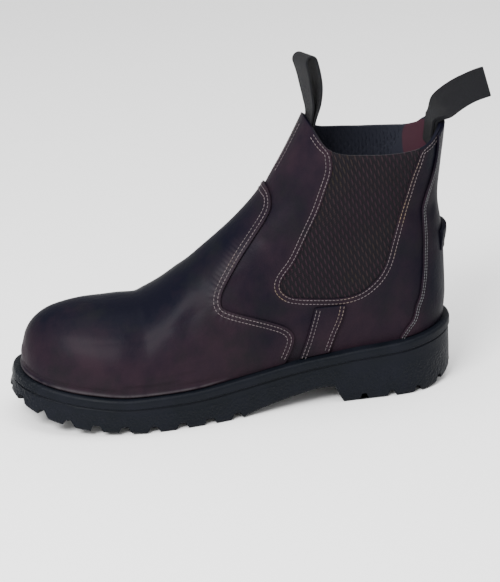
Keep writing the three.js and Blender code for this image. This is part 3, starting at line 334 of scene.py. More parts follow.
class SafetyBootColours(bpy.types.PropertyGroup):
    """Colours of the boot's finishes."""

    def colour(text, default):
        name = text[0].upper() + text[1:]
        return FloatVectorProperty(name=name, description=f"Colour of the {text}", subtype="COLOR",
                                   size=4, min=0, max=1, default=(*default, 1))

    leather_dark: colour("leather in its dark parts", (0.0031, 0.0031, 0.0068))
    leather_red: colour("leather where it is rubbed", (0.0148, 0.0086, 0.0126))
    leather_grey: colour("leather in its grey clouds", (0.0062, 0.0068, 0.0078))
    # A painted highlight, on the roll above the rubber and on the crests of the vamp's puckers
    leather_painted_highlight: colour("leather where it rolls over the rubber", (0.034, 0.03, 0.033))
    leather_lining: colour("lining leather", (0.036, 0.007, 0.016))
    cloth_lining: colour("cloth lining", (0.0045, 0.0055, 0.0125))
    elastic: colour("elastic's ribs", (0.0185, 0.0075, 0.0125))
    elastic_olive: colour("elastic's olive ribs", (0.0135, 0.0098, 0.006))
    elastic_groove: colour("elastic between its ribs", (0.0026, 0.0016, 0.0034))
    rubber: colour("rubber", (0.0022, 0.0031, 0.005))
    rubber_worn: colour("rubber where it is rubbed", (0.0046, 0.0052, 0.009))
    webbing: colour("webbing", (0.0028, 0.0029, 0.0042))
    thread: colour("thread", (0.08, 0.063, 0.067))
    thread_pale: colour("thread of the counter", (0.06, 0.062, 0.066))
    thread_gold: colour("thread in its golden parts", (0.115, 0.076, 0.034))
    thread_soiled: colour("thread where it is soiled", (0.024, 0.02, 0.023))
    insole: colour("insole cover", (0.03, 0.028, 0.03))
    floor: colour("floor", (0.97, 0.97, 0.97))


def read(table, key, column, value):
    """A table's column at a value of its key, on a smooth curve that never overshoots its rows."""
    keys = np.array(table[key], float)
    rows = np.array(table[column], float)
    if keys[0] > keys[-1]:
        keys, rows = keys[::-1], rows[::-1]
    slopes = np.diff(rows) / np.diff(keys)
    before, after = slopes[:-1], slopes[1:]
    same = before * after > 0
    middle = np.where(same, 2 * before * after / np.where(same, before + after, 1), 0)
    tangents = np.concatenate([slopes[:1], middle, slopes[-1:]])
    value = np.asarray(value, float)
    k = np.clip(np.searchsorted(keys, value) - 1, 0, len(keys) - 2)
    span = keys[k + 1] - keys[k]
    t = np.clip((value - keys[k]) / span, 0, 1)
    ends = rows[k] * (1 + 2 * t) * (1 - t) ** 2 + rows[k + 1] * t * t * (3 - 2 * t)
    return ends + span * (tangents[k] * t * (1 - t) ** 2 + tangents[k + 1] * t * t * (t - 1))


def smooth(t):
    t = np.clip(t, 0, 1)
    return t * t * (3 - 2 * t)


def mix(a, b, t):
    return a + (b - a) * t


def unit(vectors):
    return vectors / np.maximum(np.linalg.norm(vectors, axis=-1, keepdims=True), 1e-12)


def lengths_along(points):
    """Distance from the first point to each point of a line."""
    return np.concatenate([[0], np.cumsum(np.linalg.norm(np.diff(points, axis=0), axis=1))])


def at_shares(points, shares):
    """Points at shares of a line's length."""
    run = lengths_along(points)
    return np.stack([np.interp(np.asarray(shares) * run[-1], run, points[:, i])
                     for i in range(points.shape[1])], -1)


def rounded(rows, steps=14):
    """A curve through the rows of an outline."""
    k, t = np.divmod(np.arange((len(rows) - 1) * steps + 1) / steps, 1)
    k = k.astype(int)
    pick = lambda offset: rows[np.clip(k + offset, 0, len(rows) - 1)]
    t = t[:, None]
    near, far = (pick(1) - pick(-1)) / 2, (pick(2) - pick(0)) / 2
    cubic = (2 * pick(0) - 2 * pick(1) + near + far) * t ** 3
    return cubic + (3 * pick(1) - 3 * pick(0) - 2 * near - far) * t * t + near * t + pick(0)


class Last:
    """The boot's outer face. A place on it is (turn, rise): turn runs round the boot, from the
    back seam at 0 over the outer side to the ridge at 1 and back over the inner side to 2, and
    rise runs from the sole at 0 to the collar at 1."""

    def __init__(self, sizes):
        self.size = sizes
        self.length = sizes.sole_length
        self.height = sizes.shaft_height
        up = np.array(RIDGE["up"])
        low = sizes.toe_height * up
        middle = mix(sizes.toe_height, sizes.instep_height, up - 1)
        high = mix(sizes.instep_height, self.height, up - 2)
        z = np.where(up < 1, low, np.where(up < 2, middle, high))
        x = np.array(RIDGE["at"]) * self.length
        self.ridge = {"x": x, "z": z}
        self.shaft_front = {"x": np.concatenate([[FLOOR_FRONT * self.length], x[INSTEP_ROW:]]),
                            "z": np.concatenate([[0], z[INSTEP_ROW:]])}
        rear_z = self.height * COLLAR["up"][0]
        for _ in range(REAR_STEPS):
            rear_z = self.height * read(COLLAR, "at", "up", self.back(rear_z) / self.length)
        self.start = np.array([self.back(self.foot(0)), self.foot(0)])
        self.rear = np.array([self.back(rear_z), rear_z])
        self.low = np.array([x[0], self.foot(x[0])])
        self.peak = np.array([x[-1], z[-1]])
        self.front = self.front_line()
        turns = np.linspace(0, 1, TABLE_SAMPLES)
        turns, rises = np.meshgrid(turns, np.linspace(0, TABLE_TOP, TABLE_SAMPLES))
        self.table = np.stack([turns.ravel(), rises.ravel()], -1)
        self.table_places = self.side_view(self.table[:, 0], self.table[:, 1])
        self.landing_table = self.landings()

    def ridge_height(self, x):
        return read(self.ridge, "x", "z", x)

    def back(self, z):
        return self.length * read(BACK_SEAM, "up", "at", z / self.height)

    def centre(self, x):
        t = np.clip((x / self.length - TOE_SWING["from"]) / (1 - TOE_SWING["from"]), 0, 1)
        return -TOE_SWING["share"] * self.size.ball_width * t ** TOE_SWING["power"]

    def plan_half(self, x, side):
        at = x / self.length
        waist = smooth((at - WAIST_START) / WAIST_LENGTH)
        share = np.where(side > 0, read(SOLE_PLAN, "at", "outer", at), read(SOLE_PLAN, "at", "inner", at))
        return mix(self.size.heel_width, self.size.ball_width, waist) * share

    def round_ends(self, x, back=0, tip=None):
        tip = self.length if tip is None else tip
        toe_from, heel_from = TOE_ROUND["from"] * self.length, HEEL_ROUND["from"] * self.length
        toe = np.clip((x - toe_from) / (tip - toe_from), 0, 1)
        heel = np.clip((heel_from - x) / (heel_from - back), 0, 1)
        toe_share = (1 - toe ** TOE_ROUND["power"]) ** (1 / TOE_ROUND["power"])
        return toe_share * (1 - heel ** HEEL_ROUND["power"]) ** (1 / HEEL_ROUND["power"])

    def top_edge(self, x):
        at = x / self.length
        heel = self.size.heel_edge * read(TOP_EDGE, "at", "heel", at)
        return heel + self.size.ball_edge * read(TOP_EDGE, "at", "ball", at)

    def underside(self, x):
        at = x / self.length
        arch = self.size.arch_rise * read(UNDERSIDE, "at", "arch", at)
        heel = self.size.heel_roll * read(UNDERSIDE, "at", "heel", at)
        return arch + heel + self.size.toe_spring * read(UNDERSIDE, "at", "toe", at)

    def foot(self, x):
        return self.top_edge(x) - self.size.cup_depth

    def half_width(self, x, z, side):
        """Half width of the outer face at a point of its side view."""
        tip = self.length - self.size.toe_shelf
        toe_from = TOE_ROUND["from"] * self.length - self.size.side_shelf
        toe = np.clip((x - toe_from) / (tip - toe_from), 0, 1)
        plan = self.plan_half(x, side) - self.size.side_shelf
        foot = self.foot(x)
        rise = np.clip((z - foot) / (self.ridge_height(x) - foot), 0, 1)
        plan_round = (1 - toe ** TOE_ROUND["power"]) ** (1 / TOE_ROUND["power"])
        dome = (1 - rise ** SECTION["low"]) ** (1 / SECTION["high"])
        bulge = 1 + SECTION["bulge"] * np.sin(np.pi * np.clip(rise / SECTION["top"], 0, 1))
        up = z / self.height
        power = read(SHAFT, "up", "power", up)

        def end(room, column):
            reach = read(SHAFT, "up", column, up) * self.length
            return (1 - np.clip(1 - room / reach, 0, 1) ** power) ** (1 / power)

        blend = smooth((up - WAIST_FADE["up"]) / WAIST_FADE["height"])
        half = mix(plan, self.size.shaft_width * read(SHAFT, "up", "half", up), blend)
        front = read(self.shaft_front, "z", "x", z)
        shaft = half * end(x - self.back(z), "back") * end(front - x, "front")
        fade = smooth((SHAFT_FADE["at"] - x / self.length) / SHAFT_FADE["length"])
        return mix(plan * plan_round * dome * bulge, shaft, fade)

    def front_line(self):
        """The line where the two sides of the face close over the toe, instep and shin."""
        knots = np.stack([self.ridge["x"], self.ridge["z"]], -1)
        knots = np.concatenate([[self.low], knots[knots[:, 1] > self.low[1] + self.size.clearance]])
        run = lengths_along(knots)
        table = {"run": run, "x": knots[:, 0], "z": knots[:, 1]}
        samples = np.linspace(0, run[-1], FRONT_SAMPLES)
        line = np.stack([read(table, "run", c, samples) for c in ("x", "z")], -1)
        way = unit(np.gradient(line, axis=0))
        out = np.stack([way[:, 1], -way[:, 0]], -1)
        inside, outside = np.full(len(line), -2 * MM), np.full(len(line), 2 * MM)
        for _ in range(FRONT_HALVINGS):
            middle = (inside + outside) / 2
            x, z = (line + out * middle[:, None]).T
            filled = self.half_width(x, z, np.ones(len(x))) > 0
            inside, outside = np.where(filled, middle, inside), np.where(filled, outside, middle)
        moved = line + out * inside[:, None]
        moved[0] = self.low
        return moved

    def side_view(self, turn, rise):
        """Places in side view, from the four edge lines."""
        turn = np.where(turn > 1, 2 - turn, np.abs(turn))
        u = ((1 - np.cos(np.pi * turn)) / 2)[..., None]
        v = np.asarray(rise, float)[..., None]
        back_z = mix(self.start[1], self.rear[1], v[..., 0])
        back = np.stack([self.back(back_z), back_z], -1)
        share = np.clip(v[..., 0], 0, 1) ** ROW_CROWDING * (len(self.front) - 1)
        ahead = np.stack([np.interp(share, np.arange(len(self.front)), self.front[:, i])
                          for i in (0, 1)], -1)
        bottom_x = mix(self.start[0], self.low[0], u[..., 0])
        bottom = np.stack([bottom_x, self.foot(bottom_x)], -1)
        top_x = mix(self.rear[0], self.peak[0], u[..., 0])
        collar = self.height * read(COLLAR, "at", "up", top_x / self.length)
        top = np.stack([top_x, collar], -1)
        corners = mix(mix(self.start, self.rear, v), mix(self.low, self.peak, v), u)
        place = mix(bottom, top, v) + mix(back, ahead, u) - corners
        least = self.back(place[..., 1]) + SEAM_ROOM * self.length * u[..., 0]
        place[..., 0] = np.maximum(place[..., 0], least)
        return place

    def point(self, turn, rise):
        turn = np.asarray(turn, float) % 2
        side = np.where(turn <= 1, 1.0, -1.0)
        x, z = np.moveaxis(self.side_view(turn, rise), -1, 0)
        closed = np.abs(turn - np.round(turn)) < 1e-9
        half = np.where(closed, 0, self.half_width(x, z, side))
        return np.stack([x, self.centre(x) + side * half, z], -1)

    def normal(self, turn, rise):
        """Outward directions. They turn level towards the sole."""
        low, high = np.clip(rise - ALONG, 0, None), np.clip(rise + ALONG, None, 1)
        round_way = self.point(turn + ASIDE, rise) - self.point(turn - ASIDE, rise)
        up_way = self.point(turn, high) - self.point(turn, np.minimum(low, 1 - ALONG))
        normal = unit(np.cross(up_way, round_way))
        level = unit(normal * (1, 1, 0))
        return unit(mix(level, normal, smooth(np.asarray(rise) * LEVEL_ROWS)[..., None]))

    def face(self, turn, rise, offset=0.0, relief=True):
        """Points of the face, moved out by an offset and shaped by the creases."""
        points = self.point(turn, rise)
        out = self.normal(turn, rise)
        if relief:
            offset = offset + self.relief(points)
        return points + out * np.asarray(offset, float)[..., None]

    def side_face(self, places, side, offset=0.0):
        """Points of the face at places on the outer side, or at their mirror images."""
        turn, rise = places.T
        return self.face(turn if side > 0 else 2 - turn, rise, offset)

    def relief(self, points):
        """Soft creases, and the roll of leather that stands out just above the rubber."""
        place = points[..., (0, 2)]
        total = np.zeros(points.shape[:-1])
        for crease in CREASES:
            line = rounded(self.outline(crease), 6)
            reach = crease["breadth"] * MM
            near, share = distance_to_line(place, line)
            ends = smooth(share * 5) * smooth((1 - share) * 5)
            total -= crease["depth"] * MM * np.exp(-(near / reach) ** 2) * ends
        above = points[..., 2] - self.top_edge(points[..., 0])
        ahead = smooth((points[..., 0] / self.length - ROLL_FADE["at"]) / ROLL_FADE["length"])
        roll = sum(height * np.exp(-((above / MM - up) / breadth) ** 2) for height, up, breadth in ROLLS)
        return total + roll * MM * ahead

    def outline(self, rows):
        return np.stack([np.array(rows["at"]) * self.length, np.array(rows["up"]) * self.height], -1)

    def locate(self, places):
        """The (turn, rise) of points in side view, on the outer side."""
        gaps = np.linalg.norm(self.table_places[None] - places[:, None], axis=-1)
        found = self.table[np.argmin(gaps, 1)].copy()
        step = 1e-4
        for _ in range(LOCATE_STEPS):
            here = self.side_view(found[:, 0], found[:, 1])
            inward = np.where(found[:, 0] > 0.5, -step, step)
            along = (self.side_view(found[:, 0] + inward, found[:, 1]) - here) / inward[:, None]
            up = (self.side_view(found[:, 0], found[:, 1] - step) - here) / -step
            cross = along[:, 0] * up[:, 1] - along[:, 1] * up[:, 0]
            cross = np.where(np.abs(cross) < 1e-9, 1e-9, cross)
            miss = places - here
            turned = (miss[:, 0] * up[:, 1] - miss[:, 1] * up[:, 0]) / cross
            risen = (along[:, 0] * miss[:, 1] - along[:, 1] * miss[:, 0]) / cross
            found += np.clip(np.column_stack([turned, risen]), -LOCATE_REACH, LOCATE_REACH)
            found[:, 0] = np.clip(found[:, 0], 0, 1)
        return found

    def edge(self, rows, steps=14):
        """An outline as (turn, rise) places, cut off at the collar."""
        line = self.locate(rounded(self.outline(rows), steps))
        inside = line[:, 1] <= 1
        first, last = np.argmax(inside), len(inside) - 1 - np.argmax(inside[::-1])
        kept = line[first:last + 1]
        if first > 0:
            kept = np.concatenate([[crossing(line[first - 1], line[first])], kept])
        if last < len(line) - 1:
            kept = np.concatenate([kept, [crossing(line[last + 1], line[last])]])
        return kept

    def landings(self):
        """The rise at which the face passes the sole's top edge, for turns from 0 to 1."""
        turns = np.linspace(0, 1, LANDING_SAMPLES)
        low, high = np.zeros(LANDING_SAMPLES), np.full(LANDING_SAMPLES, LANDING_TOP)
        for _ in range(LANDING_HALVINGS):
            middle = (low + high) / 2
            x, z = np.moveaxis(self.side_view(turns, middle), -1, 0)
            under = z < self.top_edge(x) + 1.2 * self.size.clearance
            low, high = np.where(under, middle, low), np.where(under, high, middle)
        return turns, high

    def landing(self, turn):
        turn = np.asarray(turn, float) % 2
        return np.interp(np.where(turn > 1, 2 - turn, turn), *self.landing_table)

    def above_landing(self, line):
        """The part of an edge above the sole, from its landing up."""
        over = line[:, 1] - self.landing(line[:, 0])
        k = np.argmax(over > 0)
        t = over[k] / (over[k] - over[k - 1])
        return np.concatenate([[mix(line[k], line[k - 1], t)], line[k:]])

    def beside(self, middle, rises, distance):
        """A line at a distance beside the ridge, or beside the back seam, at the given rises."""
        turns = np.linspace(0, 0.15, 76)
        points = self.point(middle + turns[:, None], np.asarray(rises)[None])
        away = np.linalg.norm(points - points[0], axis=-1)
        found = [np.interp(distance, away[:, k], turns) for k in range(len(rises))]
        return np.column_stack([middle + np.array(found), rises])

    def slide(self, line, distance, ease=ROW_EASE):
        """A line on the face, moved sideways to the left of its way by a distance on the face."""
        turn, rise = line.T
        here = self.point(turn, rise)
        way = unit(np.gradient(here, axis=0))
        across = unit(np.cross(self.normal(turn, rise), way)) * distance
        moved = (here + across)[:, (0, 2)]
        run = lengths_along(moved)
        even = at_shares(moved, np.linspace(0, 1, int(run[-1] / ROW_STEP)))
        ends = np.concatenate([np.repeat(even[:1], ease, 0), even, np.repeat(even[-1:], ease, 0)])
        window = np.full(2 * ease + 1, 1 / (2 * ease + 1))
        soft = np.stack([np.convolve(ends[:, i], window, "valid") for i in (0, 1)], -1)
        return self.locate(soft)


def crossing(outside, inside):
    """Where a step between two places passes the collar."""
    return mix(inside, outside, (1 - inside[1]) / (outside[1] - inside[1]))


def distance_to_line(places, line):
    """Distance of places to a line in side view, and their share along it."""
    best = np.full(places.shape[:-1], 1e9)
    share = np.zeros(places.shape[:-1])
    run = lengths_along(line)
    for k in range(len(line) - 1):
        step = line[k + 1] - line[k]
        t = np.clip(((places - line[k]) @ step) / (step @ step), 0, 1)
        gap = np.linalg.norm(places - line[k] - t[..., None] * step, axis=-1)
        nearer = gap < best
        best = np.where(nearer, gap, best)
        share = np.where(nearer, (run[k] + t * (run[k + 1] - run[k])) / run[-1], share)
    return best, share


def between(bottom, top, left, right):
    """Fills a four-sided patch between four lines of places. Left and right run upward, bottom
    and top from left to right."""
    def fill(s, t):
        low, high = at_shares(bottom, s), at_shares(top, s)
        start, end = at_shares(left, t), at_shares(right, t)
        s, t = s[:, None], t[:, None]
        corners = mix(mix(bottom[0], bottom[-1], s), mix(top[0], top[-1], s), t)
        return mix(low, high, t) + mix(start, end, s) - corners
    return fill


def add_grid(mesh, columns, rows, place, material=0):
    """Adds a grid whose points are placed by a function of their shares across and up."""
    made = bmesh.ops.create_grid(mesh, x_segments=columns, y_segments=rows, size=0.5)["verts"]
    shares = np.array([v.co[:2] for v in made]) + 0.5
    for vertex, point in zip(made, place(shares[:, 0], shares[:, 1])):
        vertex.co = point
    for face in {f for v in made for f in v.link_faces}:
        face.material_index = material
    return made


def weld(mesh, gap=0.02 * MM):
    bmesh.ops.remove_doubles(mesh, verts=mesh.verts, dist=gap)


def face_out(mesh, middle):
    """Turns an open shell's faces away from a line of points along the boot."""
    bmesh.ops.recalc_face_normals(mesh, faces=mesh.faces)
    total = sum(f.normal.dot(f.calc_center_median() - middle(f.calc_center_median())) * f.calc_area()
                for f in mesh.faces)
    if total < 0:
        bmesh.ops.reverse_faces(mesh, faces=mesh.faces)


def boot_middle(point):
    """The middle of the foot or the shaft beside a point of the upper."""
    sizes = bpy.context.scene.safety_boot_sizes
    x = min(max(point.x, 0.2 * sizes.sole_length), 0.85 * sizes.sole_length)
    z = min(point.z, 0.24 * sizes.shaft_height) if x > 0.45 * sizes.sole_length else point.z
    return Vector((x, 0, z))


def finish_piece(mesh, name, materials, replaces=(), smooth_angle=40):
    origin = ORIGIN_SHARE * bpy.context.scene.safety_boot_sizes.sole_length
    bmesh.ops.translate(mesh, verts=mesh.verts, vec=(-origin, 0, 0))
    data = bpy.data.meshes.new(name)
    mesh.to_mesh(data)
    mesh.free()
    piece = bpy.data.objects.new(name, data)
    bpy.context.scene.collection.objects.link(piece)
    for material in materials:
        data.materials.append(material)
    data.polygons.foreach_set("use_smooth", np.ones(len(data.polygons), bool))
    data.set_sharp_from_angle(angle=math.radians(smooth_angle))
    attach(piece, "root")
    if replaces:
        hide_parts(*replaces)
    return piece


def thicken(piece, thickness, offset=-1, inner_material=0):
    """Gives a sheet its thickness: inward from its face, or to both sides at an offset of 0."""
    wall = piece.modifiers.new("Wall", "SOLIDIFY")
    wall.thickness = thickness
    wall.offset = offset
    wall.material_offset = inner_material
    wall.material_offset_rim = 0


def round_rim(piece, width, angle=50):
    """Rounds the edges whose faces meet at more than an angle."""
    rim = piece.modifiers.new("Rim", "BEVEL")
    rim.width = width
    rim.segments = 2
    rim.limit_method = "ANGLE"
    rim.angle_limit = math.radians(angle)


def the_last():
    return Last(bpy.context.scene.safety_boot_sizes)


def places_of(piece, last):
    """The piece's points, from the back of the heel."""
    places = np.empty(len(piece.data.vertices) * 3)
    piece.data.vertices.foreach_get("co", places)
    return places.reshape(-1, 3) + (ORIGIN_SHARE * last.length, 0, 0)


def store(piece, name, values):
    """Stores a number at each point for a finish to read."""
    mark = piece.data.attributes.new(name, "FLOAT", "POINT")
    mark.data.foreach_set("value", values.astype(np.float32))


def mark_seams(piece, last, *outlines):
    """Stores how near each point is to a seam, and where the leather rolls over the rubber for its
    painted highlight.
    """
    places = places_of(piece, last)
    near = np.min([distance_to_line(places[:, (0, 2)], rounded(last.outline(rows), 4))[0]
                   for rows in outlines], axis=0)
    store(piece, "seam", 1 - smooth(near / SEAM_REACH))
    above = places[:, 2] - last.top_edge(places[:, 0])
    ahead = smooth((places[:, 0] / last.length - LIP_FADE["at"]) / LIP_FADE["length"])
    store(piece, "lip_highlight", np.exp(-((above - LIP_UP) / LIP_BREADTH) ** 2) * ahead)


def mark_puckers(piece, last):
    """Stores where the vamp's rows of stitches draw the leather into small folds, for their relief and
    their painted highlight.
    """
    places = places_of(piece, last)[:, (0, 2)]
    line = rounded(last.outline(VAMP_EDGE), 4)
    near, share = distance_to_line(places, line)
    store(piece, "fold_run", share * lengths_along(line)[-1] / PUCKERS["pitch"] * 2 * math.pi)
    middle = last.outline(PUCKERS)[0]
    around = smooth(PUCKERS["spread"] - np.linalg.norm(places - middle, axis=-1) / PUCKERS["reach"])
    beside = smooth(near / PUCKERS["clear"]) * (1 - smooth(near / PUCKERS["breadth"]))
    store(piece, "folds", around * beside)


class Finish:
    """A material and the few kinds of node that the boot's finishes are made of."""

    def __init__(self, name, **sockets):
        self.material = bpy.data.materials.new(name)
        self.material.use_nodes = True
        self.tree = self.material.node_tree
        self.shader = self.tree.nodes["Principled BSDF"]
        for socket, value in sockets.items():
            self.shader.inputs[socket.replace("_", " ")].default_value = value

    def node(self, kind, sockets=(), **settings):
        node = self.tree.nodes.new(kind)
        for key, value in settings.items():
            setattr(node, key, value)
        for key, value in dict(sockets).items():
            if isinstance(value, bpy.types.NodeSocket):
                self.tree.links.new(value, node.inputs[key])
            else:
                node.inputs[key].default_value = value
        return node

    def link(self, socket, name):
        self.tree.links.new(socket, self.shader.inputs[name])

    def place(self, stretch=(1, 1, 1), turn=(0, 0, 0)):
        """Object coordinates, stretched and turned."""
        coordinates = self.node("ShaderNodeTexCoord").outputs["Object"]
        mapping = self.node("ShaderNodeMapping", {"Vector": coordinates})
        mapping.inputs["Scale"].default_value = stretch
        mapping.inputs["Rotation"].default_value = turn
        return mapping.outputs[0]

    def noise(self, scale, detail=3, rough=0.5, place=None, distort=0.0):
        """Clouds, whose scale counts them in a metre."""
        sockets = {"Scale": scale, "Detail": detail, "Roughness": rough, "Distortion": distort,
                   "Vector": place or self.place()}
        return self.node("ShaderNodeTexNoise", sockets).outputs["Fac"]

    def cells(self, scale, feature="F1"):
        sockets = {"Scale": scale, "Vector": self.place()}
        return self.node("ShaderNodeTexVoronoi", sockets, feature=feature).outputs["Distance"]

    def waves(self, scale, distort=0.0, place=None, direction="X"):
        sockets = {"Scale": scale, "Distortion": distort, "Detail": 1.0, "Vector": place or self.place()}
        return self.node("ShaderNodeTexWave", sockets, bands_direction=direction).outputs["Fac"]

    def span(self, value, low, high, to_low=0.0, to_high=1.0):
        """A value's stretch from low to high, spread over another stretch and kept inside it."""
        sockets = {"Value": value, "From Min": low, "From Max": high, "To Min": to_low, "To Max": to_high}
        return self.node("ShaderNodeMapRange", sockets).outputs[0]

    def maths(self, operation, first, second):
        node = self.node("ShaderNodeMath", operation=operation)
        for k, value in enumerate((first, second)):
            if isinstance(value, bpy.types.NodeSocket):
                self.tree.links.new(value, node.inputs[k])
            else:
                node.inputs[k].default_value = value
        return node.outputs[0]

    def blend(self, share, first, second):
        node = self.node("ShaderNodeMix", data_type="RGBA")
        for key, value in ((0, share), (6, first), (7, second)):
            if isinstance(value, bpy.types.NodeSocket):
                self.tree.links.new(value, node.inputs[key])
            else:
                node.inputs[key].default_value = value
        return node.outputs[2]

    def attribute(self, name):
        return self.node("ShaderNodeAttribute", attribute_name=name).outputs["Fac"]

    def bump(self, height, distance, strength=1.0, before=None):
        """Relief of a height, on top of the relief before it."""
        sockets = {"Height": height, "Distance": distance, "Strength": strength}
        if before is not None:
            sockets["Normal"] = before
        return self.node("ShaderNodeBump", sockets).outputs[0]


def colours():
    return bpy.context.scene.safety_boot_colours


def shade(colour, share):
    """A darker or lighter colour."""
    return [min(1, part * share) for part in colour[:3]] + [1]


def material(name, make):
    """A finish by its name, made once."""
    return bpy.data.materials.get(name) or make(name)


def oiled_leather(name):
    """Dark oiled leather: wine red low down and beside seams, with grey clouds. Painted shade turns it
    blue-black on up-facing parts and at the back of the heel, and a painted highlight lightens the crests
    of the vamp's puckers and the roll where it meets the rubber."""
    finish = Finish(name, Specular_IOR_Level=0.02, Coat_Weight=0.02, Coat_Roughness=0.28)
    place = finish.node("ShaderNodeSeparateXYZ", {"Vector": finish.place()})
    # Painted shade: parts that face upward are pushed towards the blue-black colour, standing in for the
    # shade on the top of the boot
    facing = finish.node("ShaderNodeNewGeometry").outputs["Normal"]
    upward = finish.node("ShaderNodeSeparateXYZ", {"Vector": facing})
    top = finish.span(upward.outputs["Z"], low=0.4, high=0.92, to_low=0.1, to_high=-0.33)
    foot = finish.span(place.outputs["Z"], low=0.03, high=0.07, to_low=0.2, to_high=0)
    # Painted shade: the colour darkens towards the back of the heel, damping the pale grazing reflection
    # there
    heel = finish.span(place.outputs["X"], low=-0.05, high=-0.018, to_low=-0.4, to_high=0)
    seam = finish.maths("MULTIPLY", finish.attribute("seam"), 0.22)
    cloud = finish.noise(scale=17, detail=4, rough=0.55, distort=0.5)
    streak = finish.noise(scale=85, detail=5, rough=0.62, place=finish.place(stretch=(1, 1, 0.6)))
    mixed = finish.maths("ADD", cloud, finish.maths("MULTIPLY", streak, 0.55))
    # The shift of tone adds real tone, low down and beside seams, to the painted shade on top and at the
    # heel
    tone_shift = finish.maths("ADD", finish.maths("ADD", finish.maths("ADD", top, foot), heel), seam)
    # The share of wine red: real rubbed tone, lowered by the painted shade on top and at the heel
    rubbed = finish.span(finish.maths("ADD", mixed, tone_shift), low=0.5, high=1.15)
    wine = finish.blend(rubbed, colours().leather_dark, colours().leather_red)
    mist = finish.noise(scale=33, detail=4, rough=0.6, place=finish.place(turn=(0.5, 0.3, 0)))
    grey = finish.span(mist, low=0.48, high=0.72, to_high=0.7)
    clouded = finish.blend(grey, wine, colours().leather_grey)
    # Painted highlight: the crests of the vamp's puckers are lightened towards the highlight colour
    wave = finish.maths("SINE", finish.attribute("fold_run"), 0)
    fold = finish.maths("MULTIPLY", finish.attribute("folds"), finish.span(wave, low=-1, high=1))
    folded = finish.blend(finish.maths("MULTIPLY", fold, 0.45), clouded, colours().leather_painted_highlight)
    # Painted highlight: a pale line on the roll of leather just above the rubber, broken by the streaks
    lip_highlight = finish.maths("MULTIPLY", finish.attribute("lip_highlight"), finish.span(streak, low=0.3, high=0.6))
    finish.link(finish.blend(lip_highlight, folded, colours().leather_painted_highlight), "Base Color")
    finish.link(finish.span(mixed, low=0.55, high=1.05, to_low=0.38, to_high=0.56), "Roughness")
    pores = finish.bump(finish.cells(scale=900), distance=0.1 * MM, strength=0.5)
    speckle = finish.noise(scale=420, detail=4, rough=0.65)
    grain = finish.bump(speckle, distance=0.22 * MM, strength=0.7, before=pores)
    crumple = finish.noise(scale=110, detail=3, rough=0.55, distort=0.8)
    folds = finish.bump(crumple, distance=0.5 * MM, strength=0.5, before=grain)
    puckers = finish.bump(fold, distance=0.5 * MM, strength=0.8, before=folds)
    finish.link(finish.bump(cloud, distance=1.2 * MM, strength=0.3, before=puckers), "Normal")
    return finish.material


def lining(name):
    """Red leather at the heel and dark cloth ahead of it."""
    finish = Finish(name, Specular_IOR_Level=0.3, Roughness=0.72)
    place = finish.node("ShaderNodeSeparateXYZ", {"Vector": finish.place()})
    sizes = bpy.context.scene.safety_boot_sizes
    length, height = sizes.sole_length, sizes.shaft_height
    along = finish.maths("SUBTRACT", place.outputs["X"], (HEEL_PATCH["at"] - ORIGIN_SHARE) * length)
    along = finish.maths("DIVIDE", along, HEEL_PATCH["reach"] * length)
    above = finish.maths("SUBTRACT", place.outputs["Z"], HEEL_PATCH["up"] * height)
    above = finish.maths("DIVIDE", above, HEEL_PATCH["depth"] * height)
    powers = [finish.maths("POWER", finish.maths("ABSOLUTE", v, 0), HEEL_PATCH["power"])
              for v in (along, above)]
    cloth = finish.span(finish.maths("ADD", *powers), low=0.96, high=1.04)
    mottle = finish.noise(scale=70, detail=4, rough=0.6)
    red = finish.blend(mottle, shade(colours().leather_lining, 0.55), colours().leather_lining)
    finish.link(finish.blend(cloth, red, colours().cloth_lining), "Base Color")
    threads = finish.waves(scale=560, place=finish.place(turn=(0.8, 0, 0.8)))
    weave = finish.bump(threads, distance=0.15 * MM, strength=0.4)
    finish.link(finish.bump(mottle, distance=0.4 * MM, strength=0.4, before=weave), "Normal")
    return finish.material


def elastic(name):
    """Elastic of fine yarn whose ribs, partly olive, stand out; it is darker in the grooves between them.
    """
    finish = Finish(name, Roughness=0.78, Specular_IOR_Level=0.12, Sheen_Weight=0.03)
    tint = finish.span(finish.noise(scale=45, detail=3, rough=0.5), low=0.45, high=0.75)
    ribs = finish.blend(tint, colours().elastic, colours().elastic_olive)
    rib = finish.span(finish.attribute("rib"), low=0.15, high=0.75)
    finish.link(finish.blend(rib, colours().elastic_groove, ribs), "Base Color")
    yarn = finish.waves(scale=700, distort=2.0, direction="Z")
    knit = finish.bump(yarn, distance=0.2 * MM, strength=0.7)
    fluff = finish.noise(scale=900, detail=3, rough=0.6)
    finish.link(finish.bump(fluff, distance=0.15 * MM, strength=0.6, before=knit), "Normal")
    return finish.material


def rubber(name):
    """Rubber, grained on the lower half of its side and nearly smooth on the rim."""
    finish = Finish(name, Specular_IOR_Level=0.085)
    tone_shift = finish.span(finish.noise(scale=38, detail=5, rough=0.62), low=0.42, high=0.78)
    dust = finish.span(finish.noise(scale=420, detail=3, rough=0.7), low=0.55, high=0.75, to_high=0.5)
    pale = finish.maths("MAXIMUM", tone_shift, dust)
    finish.link(finish.blend(pale, colours().rubber, colours().rubber_worn), "Base Color")
    finish.link(finish.span(tone_shift, low=0, high=1, to_low=0.5, to_high=0.66), "Roughness")
    crumb = finish.cells(scale=640, feature="SMOOTH_F1")
    crumb = finish.maths("MULTIPLY", crumb, finish.attribute("grained"))
    coarse = finish.bump(crumb, distance=0.9 * MM, strength=0.8)
    flow = finish.waves(scale=260, distort=0.6, direction="Z")
    lines = finish.bump(flow, distance=0.1 * MM, strength=0.25, before=coarse)
    dents = finish.noise(scale=300, detail=4, rough=0.6)
    finish.link(finish.bump(dents, distance=0.25 * MM, strength=0.4, before=lines), "Normal")
    return finish.material


